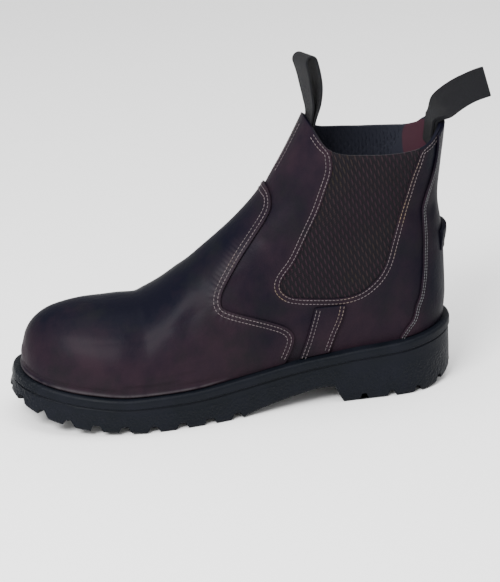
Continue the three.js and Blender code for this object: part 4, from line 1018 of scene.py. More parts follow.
def webbing(name):
    """Plain woven tape, its weave along the piece's own map."""
    finish = Finish(name, Roughness=0.82, Specular_IOR_Level=0.15, Sheen_Weight=0.03)
    chart = finish.node("ShaderNodeUVMap", uv_map="weave").outputs[0]
    warp = finish.waves(WARP_SCALE, place=chart, direction="X")
    weft = finish.waves(WEFT_SCALE, place=chart, direction="Y")
    cloth = finish.maths("MULTIPLY", warp, weft)
    raised = finish.span(cloth, low=0.1, high=0.9)
    finish.link(finish.blend(raised, colours().webbing, shade(colours().webbing, 3.2)), "Base Color")
    relief = finish.bump(cloth, distance=0.5 * MM, strength=0.9)
    fluff = finish.noise(scale=1200, detail=2, rough=0.6)
    finish.link(finish.bump(fluff, distance=0.12 * MM, strength=0.5, before=relief), "Normal")
    return finish.material


def sewing_thread(name):
    """Soiled thread with golden parts, or the plain pale thread of the counter."""
    finish = Finish(name, Roughness=0.62, Specular_IOR_Level=0.35)
    pale = name == "pale_thread"
    plain = colours().thread_pale if pale else colours().thread
    gold = finish.span(finish.noise(scale=26, detail=2, rough=0.5), low=0.52, high=0.68)
    clean = finish.blend(gold, plain, plain if pale else colours().thread_gold)
    soiled = finish.span(finish.noise(scale=190, detail=3, rough=0.6), low=0.4, high=0.72, to_high=0.75)
    finish.link(finish.blend(soiled, clean, colours().thread_soiled), "Base Color")
    fluff = finish.noise(scale=1600, detail=2, rough=0.5)
    finish.link(finish.bump(fluff, distance=0.1 * MM, strength=0.6), "Normal")
    return finish.material


def insole_cover(name):
    """Plain woven cloth."""
    finish = Finish(name, Roughness=0.85, Specular_IOR_Level=0.2)
    warp, weft = (finish.waves(scale=300, direction=way) for way in ("X", "Y"))
    weave = finish.maths("MULTIPLY", warp, weft)
    finish.link(finish.blend(weave, shade(colours().insole, 0.5), colours().insole), "Base Color")
    finish.link(finish.bump(weave, distance=0.25 * MM, strength=0.7), "Normal")
    return finish.material


def floor_paint(name):
    finish = Finish(name, Roughness=0.6, Specular_IOR_Level=0.2)
    finish.shader.inputs["Base Color"].default_value = colours().floor
    return finish.material


class SAFETYBOOT_OT_upper(bpy.types.Operator):
    """Make the hollow leather upper, with an opening for the elastic on each side"""

    bl_idname = "safety_boot.upper"
    bl_label = "Upper"

    def execute(self, context):
        last = the_last()
        sizes = last.size
        front, foot, rear = (last.edge(rows) for rows in (GORE_FRONT, GORE_FOOT, GORE_REAR))
        front_up = front[::-1]
        f, r = foot[0], foot[-1]
        line = lambda a, b: np.array([a, b], float)
        ridge, seam = 1.0, 0.0
        below_f, below_r = (f[0], 0), (r[0], 0)
        ridge_foot, ridge_f, ridge_top = (ridge, 0), (ridge, f[1]), (ridge, 1)
        seam_foot, seam_r, seam_top = (seam, 0), (seam, r[1]), (seam, 1)
        # The bottom, top, left and right line of each block
        blocks = (
            (line(ridge_f, f), line(ridge_top, front_up[-1]), line(ridge_f, ridge_top), front_up),
            (line(ridge_foot, below_f), line(ridge_f, f), line(ridge_foot, ridge_f), line(below_f, f)),
            (line(below_f, below_r), foot, line(below_f, f), line(below_r, r)),
            (line(below_r, seam_foot), line(r, seam_r), line(below_r, r), line(seam_foot, seam_r)),
            (line(r, seam_r), line(rear[-1], seam_top), rear, line(seam_r, seam_top)),
        )
        mesh = bmesh.new()
        offset = -(sizes.overlay + sizes.clearance)
        for (columns, rows), lines in zip(UPPER_GRIDS, blocks):
            fill = between(*lines)
            for side in (1, -1):
                add_grid(mesh, columns, rows, lambda s, t: last.side_face(fill(s, t), side, offset))
        weld(mesh)
        face_out(mesh, boot_middle)
        looks = [material("oiled_leather", oiled_leather), material("boot_lining", lining)]
        piece = finish_piece(mesh, "boot_upper", looks, ["upper"])
        mark_seams(piece, last, GORE_FRONT, GORE_FOOT, GORE_REAR)
        thicken(piece, sizes.wall, inner_material=1)
        round_rim(piece, RIM_ROUND)
        return {"FINISHED"}


def overlay_patch(last, edge, middle, columns, rows):
    """A grid over the ridge or the back seam, between an edge and its mirror image. It lands on the
    sole all round."""
    def place(s, t):
        turn, rise = at_shares(edge, mix(t, t * t, FOOT_CROWDING)).T
        near = turn if middle == 1 else -turn
        across = mix(near, 2 * middle - near, s)
        sunk = (last.landing(across) - last.landing(turn)) * (1 - smooth((rise - edge[0, 1]) / SUNK_FADE))
        return last.face(across, rise + sunk)
    mesh = bmesh.new()
    add_grid(mesh, columns, rows, place)
    face_out(mesh, boot_middle)
    return mesh


def cut_at_middle(edge, middle, least):
    """An edge that ends a little before it meets its own mirror image."""
    near = np.abs(edge[:, 0] - middle) < least
    return edge[:np.argmax(near)] if near.any() else edge


class SAFETYBOOT_OT_vamp(bpy.types.Operator):
    """Make the vamp, whose wings run back over the waist and whose tongue runs up the shin"""

    bl_idname = "safety_boot.vamp"
    bl_label = "Vamp"

    def execute(self, context):
        last = the_last()
        edge = cut_at_middle(last.above_landing(last.edge(VAMP_EDGE)), 1, TONGUE_TIP)
        mesh = overlay_patch(last, edge, 1, *VAMP_GRID)
        look = [material("oiled_leather", oiled_leather)]
        piece = finish_piece(mesh, "boot_vamp", look, ["vamp"])
        mark_seams(piece, last, VAMP_EDGE)
        mark_puckers(piece, last)
        thicken(piece, last.size.overlay)
        round_rim(piece, OVERLAY_ROUND)
        return {"FINISHED"}


class SAFETYBOOT_OT_counter(bpy.types.Operator):
    """Make the heel counter that runs up the back seam to the collar"""

    bl_idname = "safety_boot.counter"
    bl_label = "Heel counter"

    def execute(self, context):
        last = the_last()
        edge = last.above_landing(last.edge(COUNTER_EDGE))
        mesh = overlay_patch(last, edge, 0, *COUNTER_GRID)
        look = [material("oiled_leather", oiled_leather)]
        piece = finish_piece(mesh, "boot_heel_counter", look, ["heel_counter"])
        mark_seams(piece, last, COUNTER_EDGE)
        thicken(piece, last.size.overlay)
        round_rim(piece, OVERLAY_ROUND)
        return {"FINISHED"}


class SAFETYBOOT_OT_straps(bpy.types.Operator):
    """Make the two short side straps between the elastic and the sole"""

    bl_idname = "safety_boot.straps"
    bl_label = "Side straps"

    def execute(self, context):
        last = the_last()
        front, rear = (last.above_landing(last.edge(rows)) for rows in (STRAP_FRONT, STRAP_REAR))
        fill = between(np.array([rear[0], front[0]]), np.array([rear[-1], front[-1]]), rear, front)
        look = [material("oiled_leather", oiled_leather)]
        for side, node in ((1, "side_strap_outer"), (-1, "side_strap_inner")):
            mesh = bmesh.new()
            add_grid(mesh, *STRAP_GRID, lambda s, t: last.side_face(fill(s, t), side))
            face_out(mesh, boot_middle)
            piece = finish_piece(mesh, "boot_" + node, look, [node])
            thicken(piece, last.size.overlay)
            round_rim(piece, OVERLAY_ROUND)
        return {"FINISHED"}


class SAFETYBOOT_OT_gores(bpy.types.Operator):
    """Make the two ribbed elastic gores"""

    bl_idname = "safety_boot.gores"
    bl_label = "Elastic gores"

    def rib(self, sizes, x, z):
        """Height of the ribs, from 0 to 1: leaning lens shapes, each column of them staggered."""
        nearest = np.round(x / sizes.rib_pitch)
        heights = []
        for step in (-1, 0, 1):
            column = nearest + step
            along = 2 * ((z / sizes.rib_length + column * RIB_STAGGER) % 1) - 1
            lean = along * sizes.rib_length / 2 * math.tan(RIB_LEAN)
            across = np.abs((x - lean) / sizes.rib_pitch - column) / RIB_WIDTH
            heights.append(smooth(RIB_FULLNESS * (1 - along ** 2) - across + RIB_BLUNT))
        return np.maximum.reduce(heights)

    def execute(self, context):
        last = the_last()
        sizes = last.size
        front, foot, rear = (last.edge(rows) for rows in (GORE_FRONT, GORE_FOOT, GORE_REAR))
        fill = between(foot[::-1], np.array([rear[-1], front[0]]), rear, front[::-1])
        base = -(sizes.overlay + 2 * sizes.clearance) - RIB_HEIGHT
        looks = [material("ribbed_elastic", elastic), material("boot_lining", lining)]
        for side, node in ((1, "gore_outer"), (-1, "gore_inner")):
            def place(s, t):
                places = fill(s, t)
                edge = np.minimum.reduce([a * b for a, b in zip((s, 1 - s, t, 1 - t), RIB_FADES)])
                x, z = np.moveaxis(last.side_view(*places.T), -1, 0)
                height = RIB_HEIGHT * self.rib(sizes, x, z) * np.clip(edge, 0, 1)
                return last.side_face(places, side, base + height)
            mesh = bmesh.new()
            add_grid(mesh, *GORE_GRID, place)
            face_out(mesh, boot_middle)
            piece = finish_piece(mesh, "boot_" + node, looks, [node], smooth_angle=80)
            x, _, z = places_of(piece, last).T
            store(piece, "rib", self.rib(sizes, x, z))
            thicken(piece, sizes.gore_thickness - RIB_HEIGHT, inner_material=1)
        return {"FINISHED"}


class SAFETYBOOT_OT_spur_rest(bpy.types.Operator):
    """Make the spur rest, a ledge on the back of the counter"""

    bl_idname = "safety_boot.spur_rest"
    bl_label = "Spur rest"

    def execute(self, context):
        last = the_last()
        sizes = last.size
        low, high = (last.locate(last.outline({"at": (SPUR["front"],), "up": (SPUR[k],)}))[0]
                     for k in ("low", "high"))

        def place(s, t, depth):
            turn = mix(low[0], high[0], t) * (1 - 2 * s)
            rise = mix(low[1], high[1], t)
            upward = mix(SPUR["foot"], 1, smooth(t * 1.1))
            bulge = upward * (1 - SPUR["fall"] * np.abs(1 - 2 * s) ** 3)
            return last.face(turn, rise, SPUR["seat"] + depth * bulge, relief=False)
        mesh = bmesh.new()
        for depth in (0, sizes.clearance + sizes.spur_depth):
            add_grid(mesh, *SPUR_GRID, lambda s, t: place(s, t, depth))
        bmesh.ops.bridge_loops(mesh, edges=[e for e in mesh.edges if e.is_boundary])
        bmesh.ops.recalc_face_normals(mesh, faces=mesh.faces)
        look = [material("oiled_leather", oiled_leather)]
        piece = finish_piece(mesh, "boot_spur_rest", look, ["spur_rest"])
        round_rim(piece, RIM_ROUND)
        return {"FINISHED"}


class SoleForm:
    """Rings of the outsole. They share the turn of the upper's face."""

    def __init__(self, last):
        self.last = last
        self.sizes = last.size

    def outline(self, turn, outward=0.0):
        """The plan outline at a turn, moved out by a distance."""
        step = 1e-3
        here = self.plan(turn)
        way = unit(self.plan(turn + step) - self.plan(turn - step))
        return here + np.stack([-way[:, 1], way[:, 0]], -1) * np.reshape(outward, (-1, 1))

    def plan(self, turn):
        last = self.last
        turn = np.asarray(turn, float) % 2
        side = np.where(turn <= 1, 1.0, -1.0)
        share = (1 - np.cos(np.pi * np.where(turn > 1, 2 - turn, turn))) / 2
        x = share * last.length
        half = last.plan_half(x, side) * last.round_ends(x)
        return np.stack([x, last.centre(x) + side * half], -1)

    def draft(self, x, share):
        lean = smooth((x / self.last.length - TOE_LEAN["from"]) / TOE_LEAN["length"])
        return -self.sizes.toe_draft * share * lean

    def rings(self):
        """Each ring's lean, its outward step and its height above the underside or below the edge."""
        sizes, last = self.sizes, self.last
        rim = lambda x: last.top_edge(x) - sizes.rim_height
        foot = lambda x: last.underside(x) + sizes.tread_bevel
        bevel = sizes.tread_bevel
        rows = [
            (0, -bevel, last.underside),
            (0, -0.35 * bevel, lambda x: last.underside(x) + 0.3 * bevel),
            (0, 0, foot),
        ]
        for k in range(1, SIDE_RINGS):
            t = k / SIDE_RINGS
            rows.append((SIDE_LEAN * t, 0, lambda x, t=t: mix(foot(x), rim(x), t)))
        outward = {"side": 0, "groove": -GROOVE_DEPTH, "rim": sizes.rim_step}
        for lean, up, where in GROOVE_RINGS:
            rows.append((lean, outward[where], lambda x, up=up: rim(x) + up * MM))
        for k in range(RIM_RINGS + 1):
            t = k / RIM_RINGS
            angle = t * math.pi / 2
            fall = sizes.edge_round * (1 - math.sin(angle))
            step = sizes.rim_step - sizes.edge_round * (1 - math.cos(angle))
            rows.append((mix(RIM_LEAN, 1, t), step, lambda x, fall=fall: last.top_edge(x) - fall))
        return rows

    def wall(self, turn, rows, k):
        """Points of ring k."""
        lean, outward, height = rows[k]
        x = self.outline(turn)[:, 0]
        flat = self.outline(turn, self.draft(x, lean) + outward)
        return np.column_stack([flat, height(np.clip(flat[:, 0], 0, self.last.length))])

    def cup(self, turn, deep):
        """The edge of the cup at the top, or its floor's edge."""
        last = self.last
        offset = -self.sizes.overlay
        if deep:
            points = last.face(turn, np.zeros(len(turn)), offset, relief=False)
            points[:, 2] = last.foot(points[:, 0]) - self.sizes.clearance
            return points
        points = last.face(turn, last.landing(turn), offset, relief=False)
        points[:, 2] = last.top_edge(points[:, 0])
        return points


def sole_body(form):
    """The whole outsole before its tread is cut."""
    rows = form.rings()
    mesh = bmesh.new()
    count = len(rows) + 2

    def wall(s, t):
        level = np.rint(t * (count - 1)).astype(int)
        points = np.zeros((len(s), 3))
        for k in range(count):
            here = level == k
            turn = 2 * s[here]
            points[here] = form.wall(turn, rows, k) if k < len(rows) else form.cup(turn, k > len(rows))
        return points

    def lid(ring, height):
        def place(s, t):
            points = mix(ring(t), ring(2 - t), s[:, None])
            points[:, 2] = height(np.clip(points[:, 0], 0, form.last.length))
            return points
        return place
    add_grid(mesh, SOLE_TURNS, count - 1, wall)
    tread = lambda t: form.wall(t, rows, 0)
    add_grid(mesh, LID_COLUMNS, SOLE_TURNS // 2, lid(tread, form.last.underside))
    floor = lambda x: form.last.foot(x) - form.sizes.clearance
    add_grid(mesh, LID_COLUMNS, SOLE_TURNS // 2, lid(lambda t: form.cup(t, True), floor))
    weld(mesh, SOLE_WELD)
    bmesh.ops.dissolve_degenerate(mesh, edges=mesh.edges, dist=LEAST_EDGE)
    bmesh.ops.recalc_face_normals(mesh, faces=mesh.faces)
    return mesh


def notch_cutters(form, mesh, keep, first, mouth, roof):
    """Wedges through the edge of the tread, square to the outline, at an even pitch."""
    sizes, last = form.sizes, form.last
    turns = np.linspace(0, 2, NOTCH_SAMPLES + 1)[:-1]
    flat = form.outline(turns)
    inside = keep(flat[:, 0] / last.length)
    cut = int(np.argmax(inside & ~np.roll(inside, 1)))
    order = np.roll(np.arange(len(turns)), -cut)
    order = order[inside[order]]
    path = flat[order]
    run = lengths_along(path)
    spot = first * sizes.lug_pitch
    while spot < run[-1]:
        k = int(np.clip(np.searchsorted(run, spot), 2, len(path) - 3))
        way = unit(path[k + 2] - path[k - 2])
        inward = np.array([way[1], -way[0]])
        across = np.array([-inward[1], inward[0]])
        height = float(last.underside(path[k][0]))
        made = bmesh.ops.create_cube(mesh, size=2)["verts"]
        for v in made:
            wide = (roof if v.co.z > 0 else 2 * mouth - roof) / 2
            reach = -sizes.lug_depth if v.co.y < 0 else sizes.lug_reach + sizes.lug_depth
            place = path[k] + across * wide * v.co.x + inward * reach
            v.co = (*place, height + sizes.lug_depth * v.co.z)
        spot += sizes.lug_pitch


def well_cutters(form, mesh):
    """The lowered fields inside the edge lugs."""
    sizes, last = form.sizes, form.last
    for start, end in WELLS:
        def place(s, t):
            x = mix(start, end, t) * last.length
            share = last.round_ends(x, sizes.lug_reach, last.length - sizes.lug_reach)
            half = lambda side: (last.plan_half(x, side) - sizes.lug_reach) * share
            outer, inner = (np.maximum(WELL_LEAST, half(way * np.ones(len(x)))) for way in (1, -1))
            y = last.centre(x) + mix(outer, -inner, s)
            return np.column_stack([x, y, last.underside(x) + sizes.lug_depth])
        roof = add_grid(mesh, *WELL_GRID, place)
        faces = list({f for v in roof for f in v.link_faces})
        pushed = bmesh.ops.extrude_face_region(mesh, geom=faces)["geom"]
        floor = [v for v in pushed if isinstance(v, bmesh.types.BMVert)]
        bmesh.ops.translate(mesh, verts=floor, vec=(0, 0, -(sizes.lug_depth + 2 * MM)))
    bmesh.ops.recalc_face_normals(mesh, faces=mesh.faces)


def centre_lugs(form, mesh):
    """Six-sided lugs in the middle of the tread."""
    sizes, last = form.sizes, form.last
    spots = []
    x = CENTRE_LUG_ROWS["start"] * last.length
    while x < CENTRE_LUG_ROWS["end"] * last.length:
        for side in ((1, -1) if x < CENTRE_LUG_ROWS["single"] * last.length else (0,)):
            spots.append((x, float(last.centre(x)) + side * sizes.centre_lug_splay))
        x += sizes.lug_pitch
    x = ORIGIN_SHARE * last.length - sizes.lug_pitch
    while x < HEEL_BREAST * last.length - sizes.centre_lug_length:
        spots.append((x, 0.0))
        x += sizes.lug_pitch
    for x, y in spots:
        made = bmesh.ops.create_cone(mesh, cap_ends=True, segments=6, radius1=1, radius2=1,
                                     depth=2)["verts"]
        ordered = sorted(made, key=lambda v: (v.co.z, math.atan2(v.co.y, v.co.x) % (2 * math.pi)))
        for k, v in enumerate(ordered):
            top = k >= 6
            dx, dy = CENTRE_LUG_CORNERS[k % 6]
            grow = CENTRE_LUG_DRAFT if top else 1
            px = x + dx * grow * sizes.centre_lug_length / 2
            py = y + dy * grow * sizes.centre_lug_width / 2
            rise = sizes.lug_depth + CENTRE_LUG_ROOT if top else 0
            v.co = (px, py, float(last.underside(px)) + rise)


def temporary(mesh, name):
    data = bpy.data.meshes.new(name)
    mesh.to_mesh(data)
    mesh.free()
    piece = bpy.data.objects.new(name, data)
    bpy.context.scene.collection.objects.link(piece)
    return piece


def joined(body, tools):
    """Cuts or joins tools with a body in turn, and gives the result as a bmesh."""
    for tool, operation in tools:
        step = body.modifiers.new(operation, "BOOLEAN")
        step.operation = operation
        step.solver = "MANIFOLD"
        step.object = tool
    made = body.evaluated_get(bpy.context.evaluated_depsgraph_get())
    mesh = bmesh.new()
    mesh.from_mesh(made.to_mesh())
    made.to_mesh_clear()
    for piece in (body, *(tool for tool, _ in tools)):
        data = piece.data
        bpy.data.objects.remove(piece)
        bpy.data.meshes.remove(data)
    return mesh


class SAFETYBOOT_OT_outsole(bpy.types.Operator):
    """Make the lugged rubber outsole"""

    bl_idname = "safety_boot.outsole"
    bl_label = "Outsole"

    def execute(self, context):
        last = the_last()
        form = SoleForm(last)
        sizes = last.size
        body = temporary(sole_body(form), "sole_body")
        wells = bmesh.new()
        well_cutters(form, wells)
        notches = bmesh.new()
        in_tread = lambda at: at > TREAD_START - 1e-4
        in_heel = lambda at: at < HEEL_BREAST + 1e-4
        notch_cutters(form, notches, in_tread, FIRST_NOTCH, sizes.notch_mouth, sizes.notch_roof)
        notch_cutters(form, notches, in_heel, FIRST_HEEL_NOTCH, sizes.heel_notch_mouth,
                      sizes.heel_notch_roof)
        bmesh.ops.recalc_face_normals(notches, faces=notches.faces)
        lugs = bmesh.new()
        centre_lugs(form, lugs)
        bmesh.ops.recalc_face_normals(lugs, faces=lugs.faces)
        tools = [
            (temporary(wells, "wells"), "DIFFERENCE"),
            (temporary(notches, "notches"), "DIFFERENCE"),
            (temporary(lugs, "lugs"), "UNION"),
        ]
        mesh = joined(body, tools)
        weld(mesh, LEAST_EDGE)
        look = [material("moulded_rubber", rubber)]
        piece = finish_piece(mesh, "boot_outsole", look, ["outsole"], smooth_angle=30)
        self.mark_grain(piece, last)
        return {"FINISHED"}

    def mark_grain(self, piece, last):
        """Stores where the moulded grain is: below the rim, and all over the toe."""
        x, _, z = places_of(piece, last).T
        edge = last.top_edge(x)
        below = smooth((edge - z - GRAIN["down"] * (edge - last.underside(x))) / GRAIN["fade"])
        toe = smooth((x / last.length - GRAIN["toe"]) / GRAIN["toe_fade"])
        store(piece, "grained", mix(GRAIN["least"], 1, np.maximum(below, toe)))


class SAFETYBOOT_OT_insole(bpy.types.Operator):
    """Give the insole its cloth cover"""

    bl_idname = "safety_boot.insole"
    bl_label = "Insole"

    def execute(self, context):
        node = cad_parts["insole"]
        node.data.materials.clear()
        node.data.materials.append(material("insole_cover", insole_cover))
        return {"FINISHED"}


class SAFETYBOOT_OT_loops(bpy.types.Operator):
    """Make the two pull loops of webbing"""

    bl_idname = "safety_boot.loops"
    bl_label = "Pull loops"

    def sewn_ends(self, last, top, start, step):
        """The ends of the sewn part, clear of the leather inside the collar."""
        sizes = last.size
        inner = -(sizes.overlay + sizes.clearance + sizes.wall)
        reach = sizes.loop_width / 2 + sizes.wall / 2 + sizes.clearance
        half = lambda x, z: float(last.half_width(np.array([x]), np.array([z]), np.ones(1))[0])
        ends = []
        for z in (top - sizes.loop_sewn, top):
            x = float(start(z))
            while half(x, z) < reach:
                x += step
            d = 0.5 * MM
            slope_x, slope_z = half(x + d, z) - half(x - d, z), half(x, z + d) - half(x, z - d)
            normal = unit(np.array([-slope_x, 2 * d, -slope_z]))
            ends.append(np.array([x + normal[0] * inner, 0, z + normal[2] * inner]))
        low, foot = ends
        away = unit(np.array([foot[2] - low[2], 0, low[0] - foot[0]])) * math.copysign(1, step)
        room = sizes.loop_thickness + SEWN_ROOM * sizes.clearance
        return low + away * room, foot + away * room

    def stations(self, last, low, foot, knee, tip, gap, foot_turn, tip_turn):
        """Middles, width directions and face directions along both legs of a loop."""
        sizes = last.size
        level = Vector((0, 1, 0))
        closed = 2 * sizes.clearance
        legs = []

        def pair(middle, up, angle, open_by):
            across = Matrix.Rotation(angle, 3, Vector(up)) @ level
            legs.append((Vector(middle), Vector(up), across, across.cross(Vector(up)), open_by))
        sewn_way = unit(foot - low)
        for k in range(SEWN_STATIONS):
            pair(mix(low, foot, k / (SEWN_STATIONS - 1)), sewn_way, 0, closed)
        for k in range(1, LEG_STATIONS + 1):
            t = k / LEG_STATIONS
            middle = (1 - t) ** 2 * foot + 2 * t * (1 - t) * knee + t * t * tip
            up = unit(2 * (1 - t) * (knee - foot) + 2 * t * (tip - knee))
            angle = mix(foot_turn, tip_turn, t) * float(smooth(t / LEG_TURNED))
            pair(middle, up, angle, mix(closed, gap, float(smooth(t / LEG_APART))))
        half = lambda open_by: (open_by + sizes.loop_thickness) / 2
        line = [(m + f * half(o), a, f) for m, _, a, f, o in legs]
        middle, up, across, face, open_by = legs[-1]
        for k in range(1, BEND_STATIONS):
            angle = math.pi * k / BEND_STATIONS
            way = face * math.cos(angle) + up * math.sin(angle)
            line.append((middle + way * half(open_by), across, way))
        line += [(m - f * half(o), a, -f) for m, _, a, f, o in reversed(legs)]
        return line

    def tape(self, sizes, node, line):
        """A length of tape along a line of middles, with its face outward."""
        middles, across, face = (np.array(column) for column in zip(*line))
        count = len(line) - 1

        def place(s, t):
            k = np.rint(t * count).astype(int)
            return middles[k] + across[k] * ((s - 0.5) * sizes.loop_width)[:, None]
        mesh = bmesh.new()
        add_grid(mesh, TAPE_COLUMNS, count, place)
        chart = mesh.loops.layers.uv.new("weave")
        run = lengths_along(middles)
        spots = {v: divmod(k, TAPE_COLUMNS + 1) for k, v in enumerate(mesh.verts)}
        for f in mesh.faces:
            for corner in f.loops:
                row, column = spots[corner.vert]
                corner[chart].uv = (column / TAPE_COLUMNS, run[row] / sizes.loop_width)
        faces = list(mesh.faces)
        mesh.normal_update()
        if sum(f.normal.dot(Vector(face[spots[f.verts[0]][0]])) for f in faces) < 0:
            bmesh.ops.reverse_faces(mesh, faces=faces)
        look = [material("webbing_tape", webbing)]
        piece = finish_piece(mesh, "boot_" + node, look, [node])
        thicken(piece, sizes.loop_thickness, offset=0)
        round_rim(piece, RIM_ROUND, angle=60)

    def execute(self, context):
        last = the_last()
        sizes = last.size
        shaft_front = lambda z: read(last.shaft_front, "z", "x", z)
        low, foot = self.sewn_ends(last, last.height * LOOP_FRONT["sewn"], shaft_front, -SEWN_STEP)
        tip_z = last.height + sizes.front_loop_height - sizes.front_loop_gap / 2 - sizes.loop_thickness
        ahead = lambda share: foot[0] + share * sizes.front_loop_height
        tip = np.array([ahead(LOOP_FRONT["tip"]), 0, tip_z])
        knee = np.array([ahead(LOOP_FRONT["knee"]), 0, (foot[2] + tip_z) / 2])
        line = self.stations(last, low, foot, knee, tip, sizes.front_loop_gap, LOOP_FRONT["foot_turn"],
                             LOOP_FRONT["tip_turn"])
        self.tape(sizes, "pull_loop_front", line)
        low, foot = self.sewn_ends(last, last.height * LOOP_REAR["sewn"], last.back, SEWN_STEP)

        def behind(share, lean):
            way = np.array([math.cos(lean), 0, math.sin(lean)])
            return foot + share * sizes.rear_loop_length * way
        knee, tip = behind(0.5, LOOP_REAR["knee_lean"]), behind(1, LOOP_REAR["lean"])
        line = self.stations(last, low, foot, knee, tip, sizes.rear_loop_gap, LOOP_REAR["foot_turn"],
                             LOOP_REAR["tip_turn"])
        self.tape(sizes, "pull_loop_rear", line)
        return {"FINISHED"}


def one_stitch():
    """A stitch one unit long each way from its middle, whose ends dip into the leather."""
    mesh = bmesh.new()
    bmesh.ops.create_uvsphere(mesh, u_segments=8, v_segments=6, radius=1)
    for v in mesh.verts:
        blunt = math.copysign(abs(v.co.z) ** STITCH_BLUNT, v.co.z)
        v.co = (v.co.x, v.co.y - STITCH_DIP * blunt * blunt, blunt)
    data = bpy.data.meshes.new("stitch")
    mesh.to_mesh(data)
    mesh.free()
    return data


def sew(mesh, stitch, last, line, offset, scale=1):
    """Stitches along a line of places on the face. The scale is that of their pitch and length."""
    sizes = last.size
    points = last.face(line[:, 0], line[:, 1], offset)
    run = lengths_along(points)
    count = int(run[-1] / (sizes.stitch_pitch * scale))
    if count < 2:
        return
    spots = (np.arange(count) + 0.5) * run[-1] / count
    at = lambda runs: np.stack([np.interp(runs, run, points[:, i]) for i in range(3)], -1)
    place = at(spots)
    way = unit(at(spots + 0.5 * MM) - at(spots - 0.5 * MM))
    turns, rises = (np.interp(spots, run, line[:, i]) for i in (0, 1))
    out = last.normal(turns, rises)
    across = unit(np.cross(out, way))
    out = np.cross(way, across)
    long, wide = sizes.stitch_length * scale / 2, sizes.thread / 2
    for k in range(count):
        axes = np.column_stack([across[k] * wide, out[k] * wide * STITCH_FLAT, way[k] * long])
        matrix = Matrix([[*axes[i], place[k][i]] for i in range(3)] + [[0, 0, 0, 1]])
        stitch.transform(matrix)
        mesh.from_mesh(stitch)
        stitch.transform(matrix.inverted())


def both_sides(line):
    """A line on the outer side and its mirror image on the inner side."""
    return line, np.column_stack([2 - line[:, 0], line[:, 1]])


class SAFETYBOOT_OT_stitching(bpy.types.Operator):
    """Sew the rows of stitches that the seams show"""

    bl_idname = "safety_boot.stitching"
    bl_label = "Stitching"

    def piece(self, mesh, name, thread="sewing_thread"):
        bmesh.ops.recalc_face_normals(mesh, faces=mesh.faces)
        finish_piece(mesh, name, [material(thread, sewing_thread)], smooth_angle=80)

    def collar_run(self, start, end):
        """Places along the collar between two turns."""
        turns = np.linspace(start, end, COLLAR_ROW_SAMPLES)
        return np.column_stack([turns, np.ones(COLLAR_ROW_SAMPLES)])

    def execute(self, context):
        last = the_last()
        sizes = last.size
        stitch = one_stitch()
        under, over = THREAD_LIFT - (sizes.overlay + sizes.clearance), THREAD_LIFT
        front, foot, rear = (last.edge(rows) for rows in (GORE_FRONT, GORE_FOOT, GORE_REAR))
        ahead = self.collar_run(COLLAR_ROW_FRONT, front[0, 0])[:-1]
        behind = self.collar_run(rear[-1, 0], COLLAR_ROW_REAR)[1:]
        opening = np.concatenate([ahead, front, foot[1:], rear[1:], behind])
        gore = bmesh.new()
        for distance in STITCH_ROWS["gore"]:
            for line in both_sides(last.slide(opening, -distance * MM, GORE_ROW_EASE)):
                sew(gore, stitch, last, line, under)
        self.piece(gore, "boot_gore_stitching")
        vamp = bmesh.new()
        edge = cut_at_middle(last.above_landing(last.edge(VAMP_EDGE)), 1, TONGUE_ROW)
        for distance in STITCH_ROWS["vamp"]:
            row = last.slide(edge, distance * MM)
            row = row[2:np.argmax(row[:, 0] >= OVER_RIDGE)]
            turns = np.linspace(row[-1, 0], 2 - row[-1, 0], OVER_RIDGE_SAMPLES + 2)[1:-1]
            top = np.column_stack([turns, np.full(OVER_RIDGE_SAMPLES, row[-1, 1])])
            sew(vamp, stitch, last, np.concatenate([row, top, both_sides(row)[1][::-1]]), over)
        self.piece(vamp, "boot_vamp_stitching")
        straps = bmesh.new()
        for rows, way in ((STRAP_FRONT, 1), (STRAP_REAR, -1)):
            edge = last.above_landing(last.edge(rows))
            for distance in STITCH_ROWS["strap"]:
                for line in both_sides(last.slide(edge, -way * distance * MM)):
                    sew(straps, stitch, last, line, over)
        self.piece(straps, "boot_strap_stitching")
        counter = bmesh.new()
        edge = last.above_landing(last.edge(COUNTER_EDGE))
        for distance in STITCH_ROWS["counter"]:
            for line in both_sides(last.slide(edge, -distance * MM)):
                sew(counter, stitch, last, line[line[:, 1] < COUNTER_TOP], over, COUNTER_STITCH)
        self.piece(counter, "boot_counter_stitching", "pale_thread")
        shin = bmesh.new()
        low = last.edge(VAMP_EDGE)[-1, 1] + SHIN_ROW["above_vamp"]
        rises = np.linspace(low, SHIN_ROW["top"], SHIN_ROW["samples"])
        for line in both_sides(last.beside(1, rises, STITCH_ROWS["shin"] * MM)):
            sew(shin, stitch, last, line, under)
        self.piece(shin, "boot_shin_stitching")
        bpy.data.meshes.remove(stitch)
        return {"FINISHED"}


